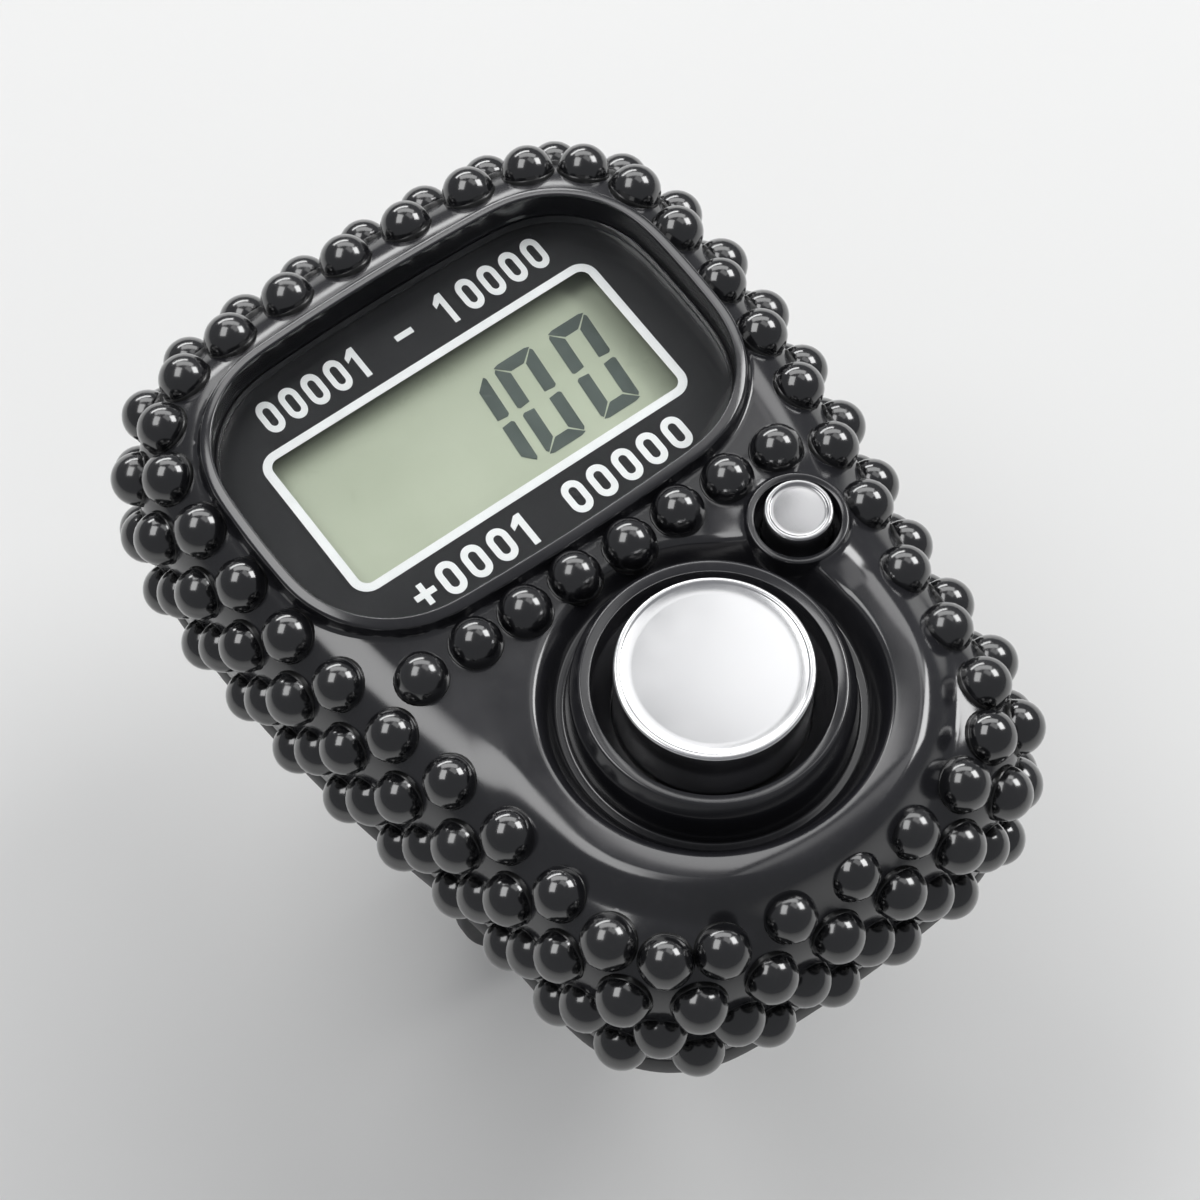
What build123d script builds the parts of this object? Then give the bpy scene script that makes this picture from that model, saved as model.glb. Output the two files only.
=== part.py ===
from build123d import *
from math import asin, cos, degrees, radians, sin
import os

# A finger tally counter: a two-shell case with a liquid crystal display, a count button and a
# reset button, set all round with half-round beads and worn on a pegged finger strap.
# Millimetres. +Z is up out of the face and +Y points to the display end. The origin is the
# centre of the finger loop, whose axis runs along Y.

# Finger strap
loop_radius = 9.0
loop_gap = 0.4
strap_width = 8.4
strap_thickness = 1.4
strap_layer_gap = 0.15
strap_exit_run = 0.8
strap_tail_radius = 2.6
pegged_sweep_angle = 158
holed_sweep_angle = 112
anchor_width = 2.2
anchor_side_gap = 0.5
anchor_clearance = 0.1
peg_radius = 0.9
peg_head_radius = 1.35
peg_head_height = 0.7
peg_head_taper_angle = 20
peg_clearance = 0.12
peg_angle = -64
strap_hole_pitch = 3.4
strap_holes_past_peg_count = 2

# Outline of the case, seen from the front
waist_width = 24.0
lower_width = 22.6
top_corner_share = 0.965
top_bow = 1.5
bottom_bow = 1.0
widest_from_top = 9.4
waist_from_bottom = 12.5
top_corner_radius = 7.0
bottom_corner_radius = 6.0
waist_radius = 25.0

# Shells
case_wall = 1.4
face_thickness = 1.6
edge_radius = 3.7
cavity_edge_chamfer = 1.2
floor_thickness = 1.2
parting_height = 2.2
parting_gap = 0.1
back_edge_chamfer = 0.7
tongue_height = 1.0
tongue_thickness = 0.8
tongue_clearance = 0.1

# Cell, its door and its contacts
cell_radius = 5.8
cell_height = 3.1
cell_cap_radius = 4.6
cell_cap_height = 0.35
cell_edge_chamfer = 0.3
cell_side_gap = 0.15
cell_seat_gap = 0.1
cell_from_top = 14.0
contact_room = 0.45
contact_thickness = 0.15
contact_width = 3.0
contact_foot = 2.5
contact_reach = 3.4
door_radius = 6.05
door_gap = 0.1
door_ledge = 0.6
door_tab_reach = 0.8
door_tab_angle = 36
door_notch_angle = 44
door_turn_angle = 60
cup_wall = 0.6
coin_slot_width = 1.6
coin_slot_length = 8.6
coin_slot_depth = 0.6

# Circuit board and display stack
board_thickness = 0.8
board_clearance = 0.4
zebra_height = 2.15
zebra_width = 1.6
zebra_end_gap = 0.6
glass_width = 19.6
glass_height = 11.2
glass_thickness = 0.5
glass_contact_ledge = 1.9
polariser_thickness = 0.15
frame_wall = 0.6
frame_fit = 0.1
frame_shelf = 1.2
frame_corner_radius = 0.8
ear_radius = 1.25
ear_from_frame = 0.7
ear_side_gap = 0.55
chip_blob_radius = 3.0
chip_blob_height = 1.1
chip_blob_shoulder_share = 0.7
chip_length = 2.0
chip_width = 1.2
chip_height = 0.6
chip_spacing = 6.0
chip_from_bottom = 6.6

# Lens and its rim
display_side_margin = 1.6
display_end_margin = 2.1
display_top_margin = 3.8
display_bow = 0.5
display_corner_radius = 5.2
window_side_margin = 1.1
window_end_margin = 1.75
window_corner_radius = 0.7
ledge_thickness = 0.8
ledge_margin = 0.6
ledge_grow = 1.0
mask_thickness = 0.12
lens_thickness = 0.9
lens_clearance = 0.12
lens_edge_chamfer = 0.25
lens_recess = 1.5
rim_width = 0.4
rim_rise = 0.8
rim_edge_chamfer = 0.13

# Count button, its collar, moat and bumper
count_radius = 4.25
count_row_gap = 0.5
count_end_margin = 2.2
count_rise = 1.3
count_crown = 0.2
count_edge_radius = 0.5
count_travel = 0.9
collar_rise = 1.6
collar_well_gap = 0.95
collar_lip_width = 0.5
collar_flare = 0.5
collar_lip_chamfer = 0.14
moat_width = 0.9
moat_depth = 1.0
moat_flare = 0.35
bumper_offset = 0.55
bumper_thickness = 1.25
bumper_rise = 0.95
bumper_lift = 0.15
guide_wall = 2.6
guide_depth = 1.2

# Reset button and its eyelet
reset_radius = 1.5
reset_across = 7.9
reset_above = 4.4
reset_rise = 0.7
reset_crown = 0.1
reset_edge_radius = 0.3
reset_travel = 0.6
eyelet_rise = 0.75
eyelet_well_gap = 0.4
eyelet_lip_width = 0.35
eyelet_lip_chamfer = 0.1

# What both buttons share
well_floor_thickness = 0.9
button_clearance = 0.1
button_edge_bevel_share = 0.29
flange_width = 0.7
flange_thickness = 0.8
flange_gap = 0.1
flange_clearance = 0.25
stem_share = 0.52
pill_thickness = 0.35
pill_share = 0.8
dome_roof = 0.4
dome_base_height = 0.5
dome_base_width = 1.0
dome_wall = 0.45
dome_spread = 1.3

# Screws
boss_radius = 1.8
boss_from_top = 3.2
boss_from_bottom = 5.3
boss_across = 6.7
boss_clearance = 0.25
screw_radius = 0.95
screw_length = 6.0
screw_head_radius = 1.7
screw_head_height = 0.95
screw_head_clearance = 0.2
screw_sink = 1.1
screw_fit = 0.03
screw_cross_width = 0.45
screw_cross_depth = 0.4
post_wall = 0.6
frame_screw_radius = 0.6
frame_screw_length = 2.1
frame_screw_head_radius = 1.15
frame_screw_head_height = 0.6
pillar_radius = 1.2
pillar_across = 8.8
upper_pillar_from_top = 7.6
lower_pillar_from_bottom = 12.8

# Beads
bead_radius = 1.25
bead_pitch = 3.3
bead_glue = 0.05
bead_side_count = 8
bead_shoulder_chamfer = 0.7
rim_bead_angle = 38
side_bead_angle = 73
wall_bead_angle = 90
cross_bead_count = 8
cross_bead_gap = 0.2
cross_row_gap = 0.1

# How far cuts run past the faces they open
overrun = 1.0

# Heights above the back of the case, from the floor up through the stack to the face
back_z = loop_radius + loop_gap
cell_bottom = floor_thickness + cell_seat_gap
cell_top = cell_bottom + cell_height
board_bottom = cell_top + contact_room
board_top = board_bottom + board_thickness
front_glass_bottom = board_top + zebra_height
rear_glass_bottom = front_glass_bottom - glass_thickness
reflector_bottom = rear_glass_bottom - polariser_thickness
polariser_bottom = front_glass_bottom + glass_thickness
ledge_bottom = polariser_bottom + polariser_thickness
ledge_top = ledge_bottom + ledge_thickness
lens_bottom = ledge_top + mask_thickness
lens_top = lens_bottom + lens_thickness
rim_height = lens_top + lens_recess
face_height = rim_height - rim_rise
ceiling_height = face_height - face_thickness
boss_bottom = parting_height + parting_gap

# Radii about the two buttons
well_radius = count_radius + collar_well_gap
lip_radius = well_radius + collar_lip_width
collar_radius = lip_radius + collar_flare
moat_radius = collar_radius + moat_width
bumper_radius = moat_radius + bumper_offset
flange_radius = count_radius + flange_width
eyelet_well_radius = reset_radius + eyelet_well_gap
eyelet_radius = eyelet_well_radius + eyelet_lip_width
reset_flange_radius = reset_radius + flange_width

# Sizes that follow from the display module and the count button
display_width = glass_width + 2 * display_side_margin
display_height = glass_height + 2 * display_end_margin
window_width = glass_width - 2 * window_side_margin
window_height = glass_height - 2 * window_end_margin
ear_x = glass_width / 2 + frame_fit + frame_wall + ear_from_frame
upper_width = 2 * (ear_x + ear_radius + ear_side_gap + case_wall)
display_end_length = display_top_margin + display_height + rim_width
bead_row_length = cross_row_gap + 2 * bead_radius + count_row_gap
count_end_length = collar_radius + bumper_radius + bumper_thickness + count_end_margin
case_length = display_end_length + bead_row_length + count_end_length

# Places in plan
half_length = case_length / 2
display_y = half_length - display_top_margin - display_height / 2
cross_y = display_y - display_height / 2 - rim_width - cross_row_gap - bead_radius
cell_y = half_length - cell_from_top
count_y = cross_y - bead_radius - count_row_gap - collar_radius
reset_x = reset_across
reset_y = count_y + reset_above
boss_places = [
    (0, half_length - boss_from_top),
    (-boss_across, boss_from_bottom - half_length),
    (boss_across, boss_from_bottom - half_length),
]
ear_places = [(-ear_x, display_y), (ear_x, display_y)]
pillar_places = [
    (-pillar_across, half_length - upper_pillar_from_top),
    (pillar_across, half_length - upper_pillar_from_top),
    (-pillar_across, lower_pillar_from_bottom - half_length),
    (pillar_across, lower_pillar_from_bottom - half_length),
]
anchor_x = waist_width / 2 - case_wall - anchor_side_gap - anchor_width / 2
pocket_inset = case_wall + tongue_clearance + tongue_thickness



def at(height):
    # Plane parallel to the back of the case, that far in front of it.
    return Plane.XY.offset(back_z + height)


def upright(x, y):
    # Plane through an upright axis: its x is the radius, its y the height above the back.
    return Plane(origin=(x, y, back_z), x_dir=(1, 0, 0), z_dir=(0, -1, 0))


def axis_at(x, y):
    return Axis((x, y, back_z), (0, 0, 1))


def case_outline(inset=0):
    # Bowed ends, one long arc down each flank to the waist, then straight to the lower corners.
    top_x = upper_width / 2 * top_corner_share
    top_y = half_length - top_bow
    waist_y = waist_from_bottom - half_length
    low_y = bottom_bow - half_length
    with BuildSketch() as outline:
        with BuildLine():
            ThreePointArc((-lower_width / 2, low_y), (0, -half_length), (lower_width / 2, low_y))
            Line((lower_width / 2, low_y), (waist_width / 2, waist_y))
            ThreePointArc(
                (waist_width / 2, waist_y),
                (upper_width / 2, half_length - widest_from_top),
                (top_x, top_y),
            )
            ThreePointArc((top_x, top_y), (0, half_length), (-top_x, top_y))
            ThreePointArc(
                (-top_x, top_y),
                (-upper_width / 2, half_length - widest_from_top),
                (-waist_width / 2, waist_y),
            )
            Line((-waist_width / 2, waist_y), (-lower_width / 2, low_y))
        make_face()
        if inset:
            offset(amount=-inset, kind=Kind.INTERSECTION)
        fillet(outline.vertices().sort_by(Axis.Y)[2:4], waist_radius + inset)
        fillet(outline.vertices().sort_by(Axis.Y)[:2], bottom_corner_radius - inset)
        fillet(outline.vertices().sort_by(Axis.Y)[-2:], top_corner_radius - inset)
    return outline.sketch


def display_outline(grow=0):
    # Four gently bowed edges with large round corners.
    x = display_width / 2
    y = display_height / 2
    with BuildSketch() as panel:
        with BuildLine():
            ThreePointArc((-x + display_bow, y - display_bow), (0, y), (x - display_bow, y - display_bow))
            ThreePointArc((x - display_bow, y - display_bow), (x, 0), (x - display_bow, display_bow - y))
            ThreePointArc((x - display_bow, display_bow - y), (0, -y), (display_bow - x, display_bow - y))
            ThreePointArc((display_bow - x, display_bow - y), (-x, 0), (display_bow - x, y - display_bow))
        make_face()
        fillet(panel.vertices(), display_corner_radius)
        if grow:
            offset(amount=grow)
    return panel.sketch


def turned_face(x, y, points):
    # Half section of a turned form about the upright axis at (x, y).
    with BuildSketch(upright(x, y)) as section:
        with BuildLine():
            Polyline(*points, close=True)
        make_face()
    return section.sketch


def sector(radius, middle_angle, spread_angle):
    # Slice of a disc about the origin of the sketch.
    with BuildSketch() as slice_sketch:
        with BuildLine():
            rim = CenterArc((0, 0), radius, middle_angle - spread_angle / 2, spread_angle)
            Line((0, 0), rim @ 0)
            Line(rim @ 1, (0, 0))
        make_face()
    return slice_sketch.sketch


# Hollow of the front shell, cut from it below
with BuildPart() as cavity:
    with BuildSketch(at(parting_height - overrun)):
        add(case_outline(case_wall))
    extrude(amount=ceiling_height - parting_height + overrun)
    chamfer(cavity.faces().sort_by(Axis.Z)[-1].edges(), cavity_edge_chamfer)



def edge_corner(lower_angle, upper_angle):
    # Inset and drop of the corner between two flat bands that touch the edge's round at those leans.
    reach = edge_radius / cos(radians((upper_angle - lower_angle) / 2))
    middle = radians((lower_angle + upper_angle) / 2)
    return edge_radius - reach * sin(middle), edge_radius - reach * cos(middle)


# Front shell: block with a seat band for each bead row, display rim, leaning bumper, moat, collar
# and reset eyelet
with BuildPart() as front_case:
    wall_drop = edge_corner(side_bead_angle, wall_bead_angle)[1]
    with BuildSketch(at(parting_height)):
        add(case_outline())
    extrude(amount=face_height - wall_drop - parting_height)
    band_edges = [
        (0, wall_drop),
        edge_corner(rim_bead_angle, side_bead_angle),
        edge_corner(0, rim_bead_angle),
    ]
    for band in zip(band_edges, band_edges[1:]):
        for inset, drop in band:
            with BuildSketch(at(face_height - drop)):
                add(case_outline(inset))
        loft(ruled=True)

    with BuildSketch(at(ledge_top)):
        with Locations((0, display_y)):
            add(display_outline(rim_width))
    extrude(amount=rim_height - ledge_top)
    chamfer(front_case.faces().sort_by(Axis.Z)[-1].edges(), rim_edge_chamfer)

    bumper_height = face_height - bumper_thickness + bumper_lift
    bumper_lean = degrees(asin((bumper_rise - bumper_lift) / bumper_radius))
    with Locations(Location((0, count_y, back_z + bumper_height), (-bumper_lean, 0, 0))):
        Torus(bumper_radius, bumper_thickness)

    moat_floor = face_height - moat_depth
    moat_rim = rim_height + bumper_rise + overrun
    moat_section = [
        (0, moat_floor),
        (moat_radius - moat_flare, moat_floor),
        (moat_radius, face_height),
        (moat_radius, moat_rim),
        (0, moat_rim),
    ]
    revolve(turned_face(0, count_y, moat_section), axis=axis_at(0, count_y), mode=Mode.SUBTRACT)

    lip_height = face_height + collar_rise
    collar_section = [
        (0, moat_floor - face_thickness / 2),
        (collar_radius, moat_floor - face_thickness / 2),
        (collar_radius, moat_floor),
        (lip_radius, lip_height - collar_lip_chamfer),
        (lip_radius - collar_lip_chamfer, lip_height),
        (0, lip_height),
    ]
    revolve(turned_face(0, count_y, collar_section), axis=axis_at(0, count_y))

    eyelet_height = face_height + eyelet_rise
    eyelet_section = [
        (0, ceiling_height),
        (eyelet_radius, ceiling_height),
        (eyelet_radius, eyelet_height - eyelet_lip_chamfer),
        (eyelet_radius - eyelet_lip_chamfer, eyelet_height),
        (0, eyelet_height),
    ]
    revolve(turned_face(reset_x, reset_y, eyelet_section), axis=axis_at(reset_x, reset_y))

    add(cavity.part, mode=Mode.SUBTRACT)

    # Screw bosses hung from the ceiling
    with BuildSketch(at(boss_bottom)):
        with Locations(*boss_places):
            Circle(boss_radius)
    extrude(amount=ceiling_height - boss_bottom)

    # Seat of the lens, with the display window through it
    with BuildSketch(at(ledge_bottom)):
        with Locations((0, display_y)):
            add(display_outline(ledge_grow))
    extrude(amount=ledge_thickness)
    with BuildSketch(at(ledge_top)):
        with Locations((0, display_y)):
            add(display_outline())
    extrude(amount=rim_height - ledge_top + overrun, mode=Mode.SUBTRACT)
    with BuildSketch(at(ledge_bottom)):
        with Locations((0, display_y)):
            RectangleRounded(
                window_width + 2 * ledge_margin,
                window_height + 2 * ledge_margin,
                window_corner_radius,
            )
    extrude(amount=ledge_thickness, mode=Mode.SUBTRACT)

    # Guide under the count button, then the two stepped wells
    with BuildSketch(at(ceiling_height - guide_depth)):
        with Locations((0, count_y)):
            Circle(flange_radius + flange_clearance + guide_wall)
    extrude(amount=guide_depth)
    count_well = [
        (0, ceiling_height - guide_depth - overrun),
        (flange_radius + flange_clearance, ceiling_height - guide_depth - overrun),
        (flange_radius + flange_clearance, ceiling_height),
        (count_radius + button_clearance, ceiling_height),
        (count_radius + button_clearance, ceiling_height + well_floor_thickness),
        (well_radius, ceiling_height + well_floor_thickness),
        (well_radius, lip_height - collar_lip_chamfer),
        (well_radius + collar_lip_chamfer, lip_height),
        (well_radius + collar_lip_chamfer, lip_height + overrun),
        (0, lip_height + overrun),
    ]
    revolve(turned_face(0, count_y, count_well), axis=axis_at(0, count_y), mode=Mode.SUBTRACT)
    reset_well = [
        (0, ceiling_height - guide_depth - overrun),
        (reset_flange_radius + flange_clearance, ceiling_height - guide_depth - overrun),
        (reset_flange_radius + flange_clearance, ceiling_height),
        (reset_radius + button_clearance, ceiling_height),
        (reset_radius + button_clearance, ceiling_height + well_floor_thickness),
        (eyelet_well_radius, ceiling_height + well_floor_thickness),
        (eyelet_well_radius, eyelet_height - eyelet_lip_chamfer),
        (eyelet_well_radius + eyelet_lip_chamfer, eyelet_height),
        (eyelet_well_radius + eyelet_lip_chamfer, eyelet_height + overrun),
        (0, eyelet_height + overrun),
    ]
    revolve(
        turned_face(reset_x, reset_y, reset_well),
        axis=axis_at(reset_x, reset_y),
        mode=Mode.SUBTRACT,
    )

    # Pilot holes of the screws
    with BuildSketch(at(boss_bottom)):
        with Locations(*boss_places):
            Circle(screw_radius + screw_fit)
    extrude(amount=screw_length, mode=Mode.SUBTRACT)

# Printed film under the lens
with BuildPart() as display_mask:
    with BuildSketch(at(ledge_top)):
        with Locations((0, display_y)):
            add(display_outline(-lens_clearance))
            RectangleRounded(window_width, window_height, window_corner_radius, mode=Mode.SUBTRACT)
    extrude(amount=mask_thickness)

# Clear lens with a bevelled top edge
with BuildPart() as display_lens:
    with BuildSketch(at(lens_bottom)):
        with Locations((0, display_y)):
            add(display_outline(-lens_clearance))
    extrude(amount=lens_thickness)
    chamfer(display_lens.faces().sort_by(Axis.Z)[-1].edges(), lens_edge_chamfer)

# Display sandwich: the front glass overhangs the rear one along its contact ledge
rear_glass_height = glass_height - glass_contact_ledge
rear_glass_y = display_y + glass_contact_ledge / 2

with BuildPart() as lcd_polariser:
    with BuildSketch(at(polariser_bottom)):
        with Locations((0, display_y)):
            Rectangle(glass_width, glass_height)
    extrude(amount=polariser_thickness)

with BuildPart() as lcd_front_glass:
    with BuildSketch(at(front_glass_bottom)):
        with Locations((0, display_y)):
            Rectangle(glass_width, glass_height)
    extrude(amount=glass_thickness)

with BuildPart() as lcd_rear_glass:
    with BuildSketch(at(rear_glass_bottom)):
        with Locations((0, rear_glass_y)):
            Rectangle(glass_width, rear_glass_height)
    extrude(amount=glass_thickness)

with BuildPart() as lcd_reflector:
    with BuildSketch(at(reflector_bottom)):
        with Locations((0, rear_glass_y)):
            Rectangle(glass_width, rear_glass_height)
    extrude(amount=polariser_thickness)

# Elastomer connector under the contact ledge
zebra_y = display_y - glass_height / 2 + zebra_width / 2
with BuildPart() as zebra_strip:
    with BuildSketch(at(board_top)):
        with Locations((0, zebra_y)):
            Rectangle(glass_width - 2 * zebra_end_gap, zebra_width)
    extrude(amount=zebra_height)

# Holder that squares the glass and the connector on the board
frame_margin = frame_fit + frame_wall
with BuildPart() as lcd_frame:
    with BuildSketch(at(board_top)):
        with Locations((0, display_y)):
            RectangleRounded(
                glass_width + 2 * frame_margin,
                glass_height + 2 * frame_margin,
                frame_corner_radius,
            )
        with Locations(*ear_places):
            Circle(ear_radius)
    extrude(amount=ledge_bottom - board_top)
    with BuildSketch(at(reflector_bottom)):
        with Locations((0, display_y)):
            Rectangle(glass_width + 2 * frame_fit, glass_height + 2 * frame_fit)
    extrude(amount=ledge_bottom - reflector_bottom, mode=Mode.SUBTRACT)
    with BuildSketch(at(board_top)):
        with Locations((0, rear_glass_y)):
            Rectangle(glass_width - 2 * frame_shelf, rear_glass_height - 2 * frame_shelf)
        with Locations((0, zebra_y)):
            Rectangle(glass_width - 2 * (zebra_end_gap - frame_fit), zebra_width + 2 * frame_fit)
        with Locations(*ear_places):
            Circle(frame_screw_radius + screw_fit)
    extrude(amount=reflector_bottom - board_top, mode=Mode.SUBTRACT)

# Board, cut round the screw bosses
with BuildPart() as circuit_board:
    with BuildSketch(at(board_bottom)):
        add(case_outline(case_wall + board_clearance))
        with Locations(*boss_places):
            Circle(boss_radius + boss_clearance, mode=Mode.SUBTRACT)
        with Locations(*ear_places):
            Circle(frame_screw_radius + screw_fit, mode=Mode.SUBTRACT)
    extrude(amount=board_thickness)

# Epoxy drop over the bonded chip, on the underside
with BuildPart() as chip_blob:
    blob_section = [
        (0, board_bottom),
        (chip_blob_radius, board_bottom),
        (
            chip_blob_radius * chip_blob_shoulder_share,
            board_bottom - chip_blob_height * chip_blob_shoulder_share,
        ),
        (0, board_bottom - chip_blob_height),
    ]
    revolve(turned_face(0, count_y, blob_section), axis=axis_at(0, count_y))

with BuildPart() as board_chips:
    with BuildSketch(at(board_bottom - chip_height)):
        with Locations((0, chip_from_bottom - half_length)):
            with GridLocations(chip_spacing, 0, 2, 1):
                Rectangle(chip_length, chip_width)
    extrude(amount=chip_height)


def button_section(radius, top, crown, edge, flange, stem_bottom):
    # Crowned cap with a softened edge, flange under the well floor and plunger, as a half section.
    flange_top = ceiling_height - flange_gap
    shoulder = top - crown
    bevel = edge * button_edge_bevel_share
    return [
        (0, stem_bottom),
        (radius * stem_share, stem_bottom),
        (radius * stem_share, flange_top - flange_thickness),
        (flange, flange_top - flange_thickness),
        (flange, flange_top),
        (radius, flange_top),
        (radius, shoulder - edge),
        (radius - bevel, shoulder - bevel),
        (radius - edge, shoulder),
        (0, top),
    ]


def dome_section(plunger_radius, roof_bottom):
    # Thin cone from a foot ring on the board up to a flat roof.
    roof_top = roof_bottom + dome_roof
    cone_radius = plunger_radius + dome_spread
    foot_top = board_top + dome_base_height
    return [
        (0, roof_top),
        (plunger_radius, roof_top),
        (cone_radius, foot_top),
        (cone_radius + dome_base_width, foot_top),
        (cone_radius + dome_base_width, board_top),
        (cone_radius - dome_wall, board_top),
        (plunger_radius - dome_wall / 2, roof_bottom),
        (0, roof_bottom),
    ]


# Count button, its pill and its dome
count_top = face_height + collar_rise + count_rise
count_pill_bottom = board_top + count_travel
count_roof = count_pill_bottom + pill_thickness
count_plunger = count_radius * stem_share
with BuildPart() as count_button:
    section = button_section(
        count_radius, count_top, count_crown, count_edge_radius, flange_radius, count_roof + dome_roof
    )
    revolve(turned_face(0, count_y, section), axis=axis_at(0, count_y))

with BuildPart() as count_pill:
    with BuildSketch(at(count_pill_bottom)):
        with Locations((0, count_y)):
            Circle(count_plunger * pill_share)
    extrude(amount=pill_thickness)

with BuildPart() as count_dome:
    revolve(turned_face(0, count_y, dome_section(count_plunger, count_roof)), axis=axis_at(0, count_y))

# Reset button, its pill and its dome
reset_top = face_height + eyelet_rise + reset_rise
reset_pill_bottom = board_top + reset_travel
reset_roof = reset_pill_bottom + pill_thickness
reset_plunger = reset_radius * stem_share
with BuildPart() as reset_button:
    section = button_section(
        reset_radius, reset_top, reset_crown, reset_edge_radius, reset_flange_radius, reset_roof + dome_roof
    )
    revolve(turned_face(reset_x, reset_y, section), axis=axis_at(reset_x, reset_y))

with BuildPart() as reset_pill:
    with BuildSketch(at(reset_pill_bottom)):
        with Locations((reset_x, reset_y)):
            Circle(reset_plunger * pill_share)
    extrude(amount=pill_thickness)

with BuildPart() as reset_dome:
    revolve(
        turned_face(reset_x, reset_y, dome_section(reset_plunger, reset_roof)),
        axis=axis_at(reset_x, reset_y),
    )

# Rear shell: shallow tray with tongue, posts, pillars, cell cup, bayonet and strap slots
tab_radius = door_radius + door_tab_reach
groove_radius = tab_radius + door_gap
cup_radius = groove_radius + cup_wall
strap_slot = strap_thickness + 2 * anchor_clearance
with BuildPart() as rear_cover:
    with BuildSketch(at(0)):
        add(case_outline())
    extrude(amount=parting_height)
    chamfer(rear_cover.faces().sort_by(Axis.Z)[0].edges(), back_edge_chamfer)
    with BuildSketch(at(floor_thickness)):
        add(case_outline(pocket_inset))
    extrude(amount=parting_height - floor_thickness, mode=Mode.SUBTRACT)
    with BuildSketch(at(parting_height)):
        add(case_outline(case_wall + tongue_clearance))
        add(case_outline(pocket_inset), mode=Mode.SUBTRACT)
        with Locations(*boss_places):
            Circle(boss_radius + boss_clearance, mode=Mode.SUBTRACT)
    extrude(amount=tongue_height)
    with BuildSketch(at(floor_thickness)):
        with Locations(*boss_places):
            Circle(screw_head_radius + screw_head_clearance + post_wall)
    extrude(amount=parting_height - floor_thickness)
    with BuildSketch(at(floor_thickness)):
        with Locations(*pillar_places):
            Circle(pillar_radius)
    extrude(amount=board_bottom - floor_thickness)
    with BuildSketch(at(floor_thickness)):
        with Locations((0, cell_y)):
            Circle(cup_radius)
    extrude(amount=cell_top - cell_cap_height - floor_thickness)
    # Door opening with its two notches, bayonet groove, cell bore and contact slot
    with BuildSketch(at(0)):
        with Locations((0, cell_y)):
            Circle(door_radius + door_gap)
            add(sector(groove_radius, -door_turn_angle, door_notch_angle))
            add(sector(groove_radius, 180 - door_turn_angle, door_notch_angle))
    extrude(amount=cell_bottom, mode=Mode.SUBTRACT)
    with BuildSketch(at(door_ledge)):
        with Locations((0, cell_y)):
            Circle(groove_radius)
    extrude(amount=cell_bottom - door_ledge, mode=Mode.SUBTRACT)
    with BuildSketch(at(cell_bottom)):
        with Locations((0, cell_y)):
            Circle(cell_radius + cell_side_gap)
        with Locations((0, cell_y - (cell_radius + cup_radius) / 2)):
            Rectangle(contact_width + 2 * door_gap, cup_radius - cell_radius + overrun)
    extrude(amount=cell_height, mode=Mode.SUBTRACT)
    # Sunk screw holes, strap slots and the pockets of the strap anchors
    with BuildSketch(at(0)):
        with Locations(*boss_places):
            Circle(screw_head_radius + screw_head_clearance)
    extrude(amount=screw_sink, mode=Mode.SUBTRACT)
    with BuildSketch(at(0)):
        with Locations(*boss_places):
            Circle(screw_radius + screw_head_clearance)
        with GridLocations(2 * anchor_x, 0, 2, 1):
            Rectangle(strap_slot, strap_width + 2 * anchor_clearance)
    extrude(amount=parting_height, mode=Mode.SUBTRACT)
    with BuildSketch(at(floor_thickness)):
        with GridLocations(2 * anchor_x, 0, 2, 1):
            Rectangle(anchor_width + 2 * anchor_clearance, strap_width + 2 * anchor_clearance)
    extrude(amount=board_bottom - floor_thickness, mode=Mode.SUBTRACT)

# Door with a coin slot and two bayonet tabs
with BuildPart() as battery_door:
    with BuildSketch(at(0)):
        with Locations((0, cell_y)):
            Circle(door_radius)
    extrude(amount=floor_thickness)
    with BuildSketch(at(door_ledge + door_gap)):
        with Locations((0, cell_y)):
            add(sector(tab_radius, 0, door_tab_angle))
            add(sector(tab_radius, 180, door_tab_angle))
    extrude(amount=floor_thickness - door_ledge - door_gap)
    with BuildSketch(at(0)):
        with Locations((0, cell_y)):
            SlotOverall(coin_slot_length, coin_slot_width)
    extrude(amount=coin_slot_depth, mode=Mode.SUBTRACT)

# Button cell: can below, narrower cap above
with BuildPart() as button_cell:
    can_top = cell_top - cell_cap_height
    cell_section = [
        (0, cell_bottom),
        (cell_radius - cell_edge_chamfer, cell_bottom),
        (cell_radius, cell_bottom + cell_edge_chamfer),
        (cell_radius, can_top),
        (cell_cap_radius, can_top),
        (cell_cap_radius, cell_top),
        (0, cell_top),
    ]
    revolve(turned_face(0, cell_y, cell_section), axis=axis_at(0, cell_y))


def bent_strip(points):
    # Strip of spring metal, bent along the given line seen from the side.
    with BuildSketch(Plane.YZ) as side:
        with BuildLine():
            Polyline(*[(y, back_z + height) for y, height in points], close=True)
        make_face()
    return side.sketch


# Spring tongue from the board to the cap of the cell
with BuildPart() as contact_negative:
    foot_end = cell_y + contact_reach
    bend = foot_end - contact_foot
    tip = cell_y - contact_foot / 2
    tongue_line = [
        (foot_end, board_bottom),
        (bend, board_bottom),
        (cell_y, cell_top + contact_thickness),
        (tip, cell_top + contact_thickness),
        (tip, cell_top),
        (cell_y, cell_top),
        (bend, board_bottom - contact_thickness),
        (foot_end, board_bottom - contact_thickness),
    ]
    extrude(bent_strip(tongue_line), amount=contact_width / 2, both=True)

# Angle from the board down the side of the can
with BuildPart() as contact_positive:
    leg = cell_y - cell_radius - cell_side_gap / 2
    angle_line = [
        (leg, cell_bottom + cell_edge_chamfer),
        (leg, board_bottom),
        (leg - contact_foot, board_bottom),
        (leg - contact_foot, board_bottom - contact_thickness),
        (leg - contact_thickness, board_bottom - contact_thickness),
        (leg - contact_thickness, cell_bottom + cell_edge_chamfer),
    ]
    extrude(bent_strip(angle_line), amount=contact_width / 2, both=True)


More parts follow.
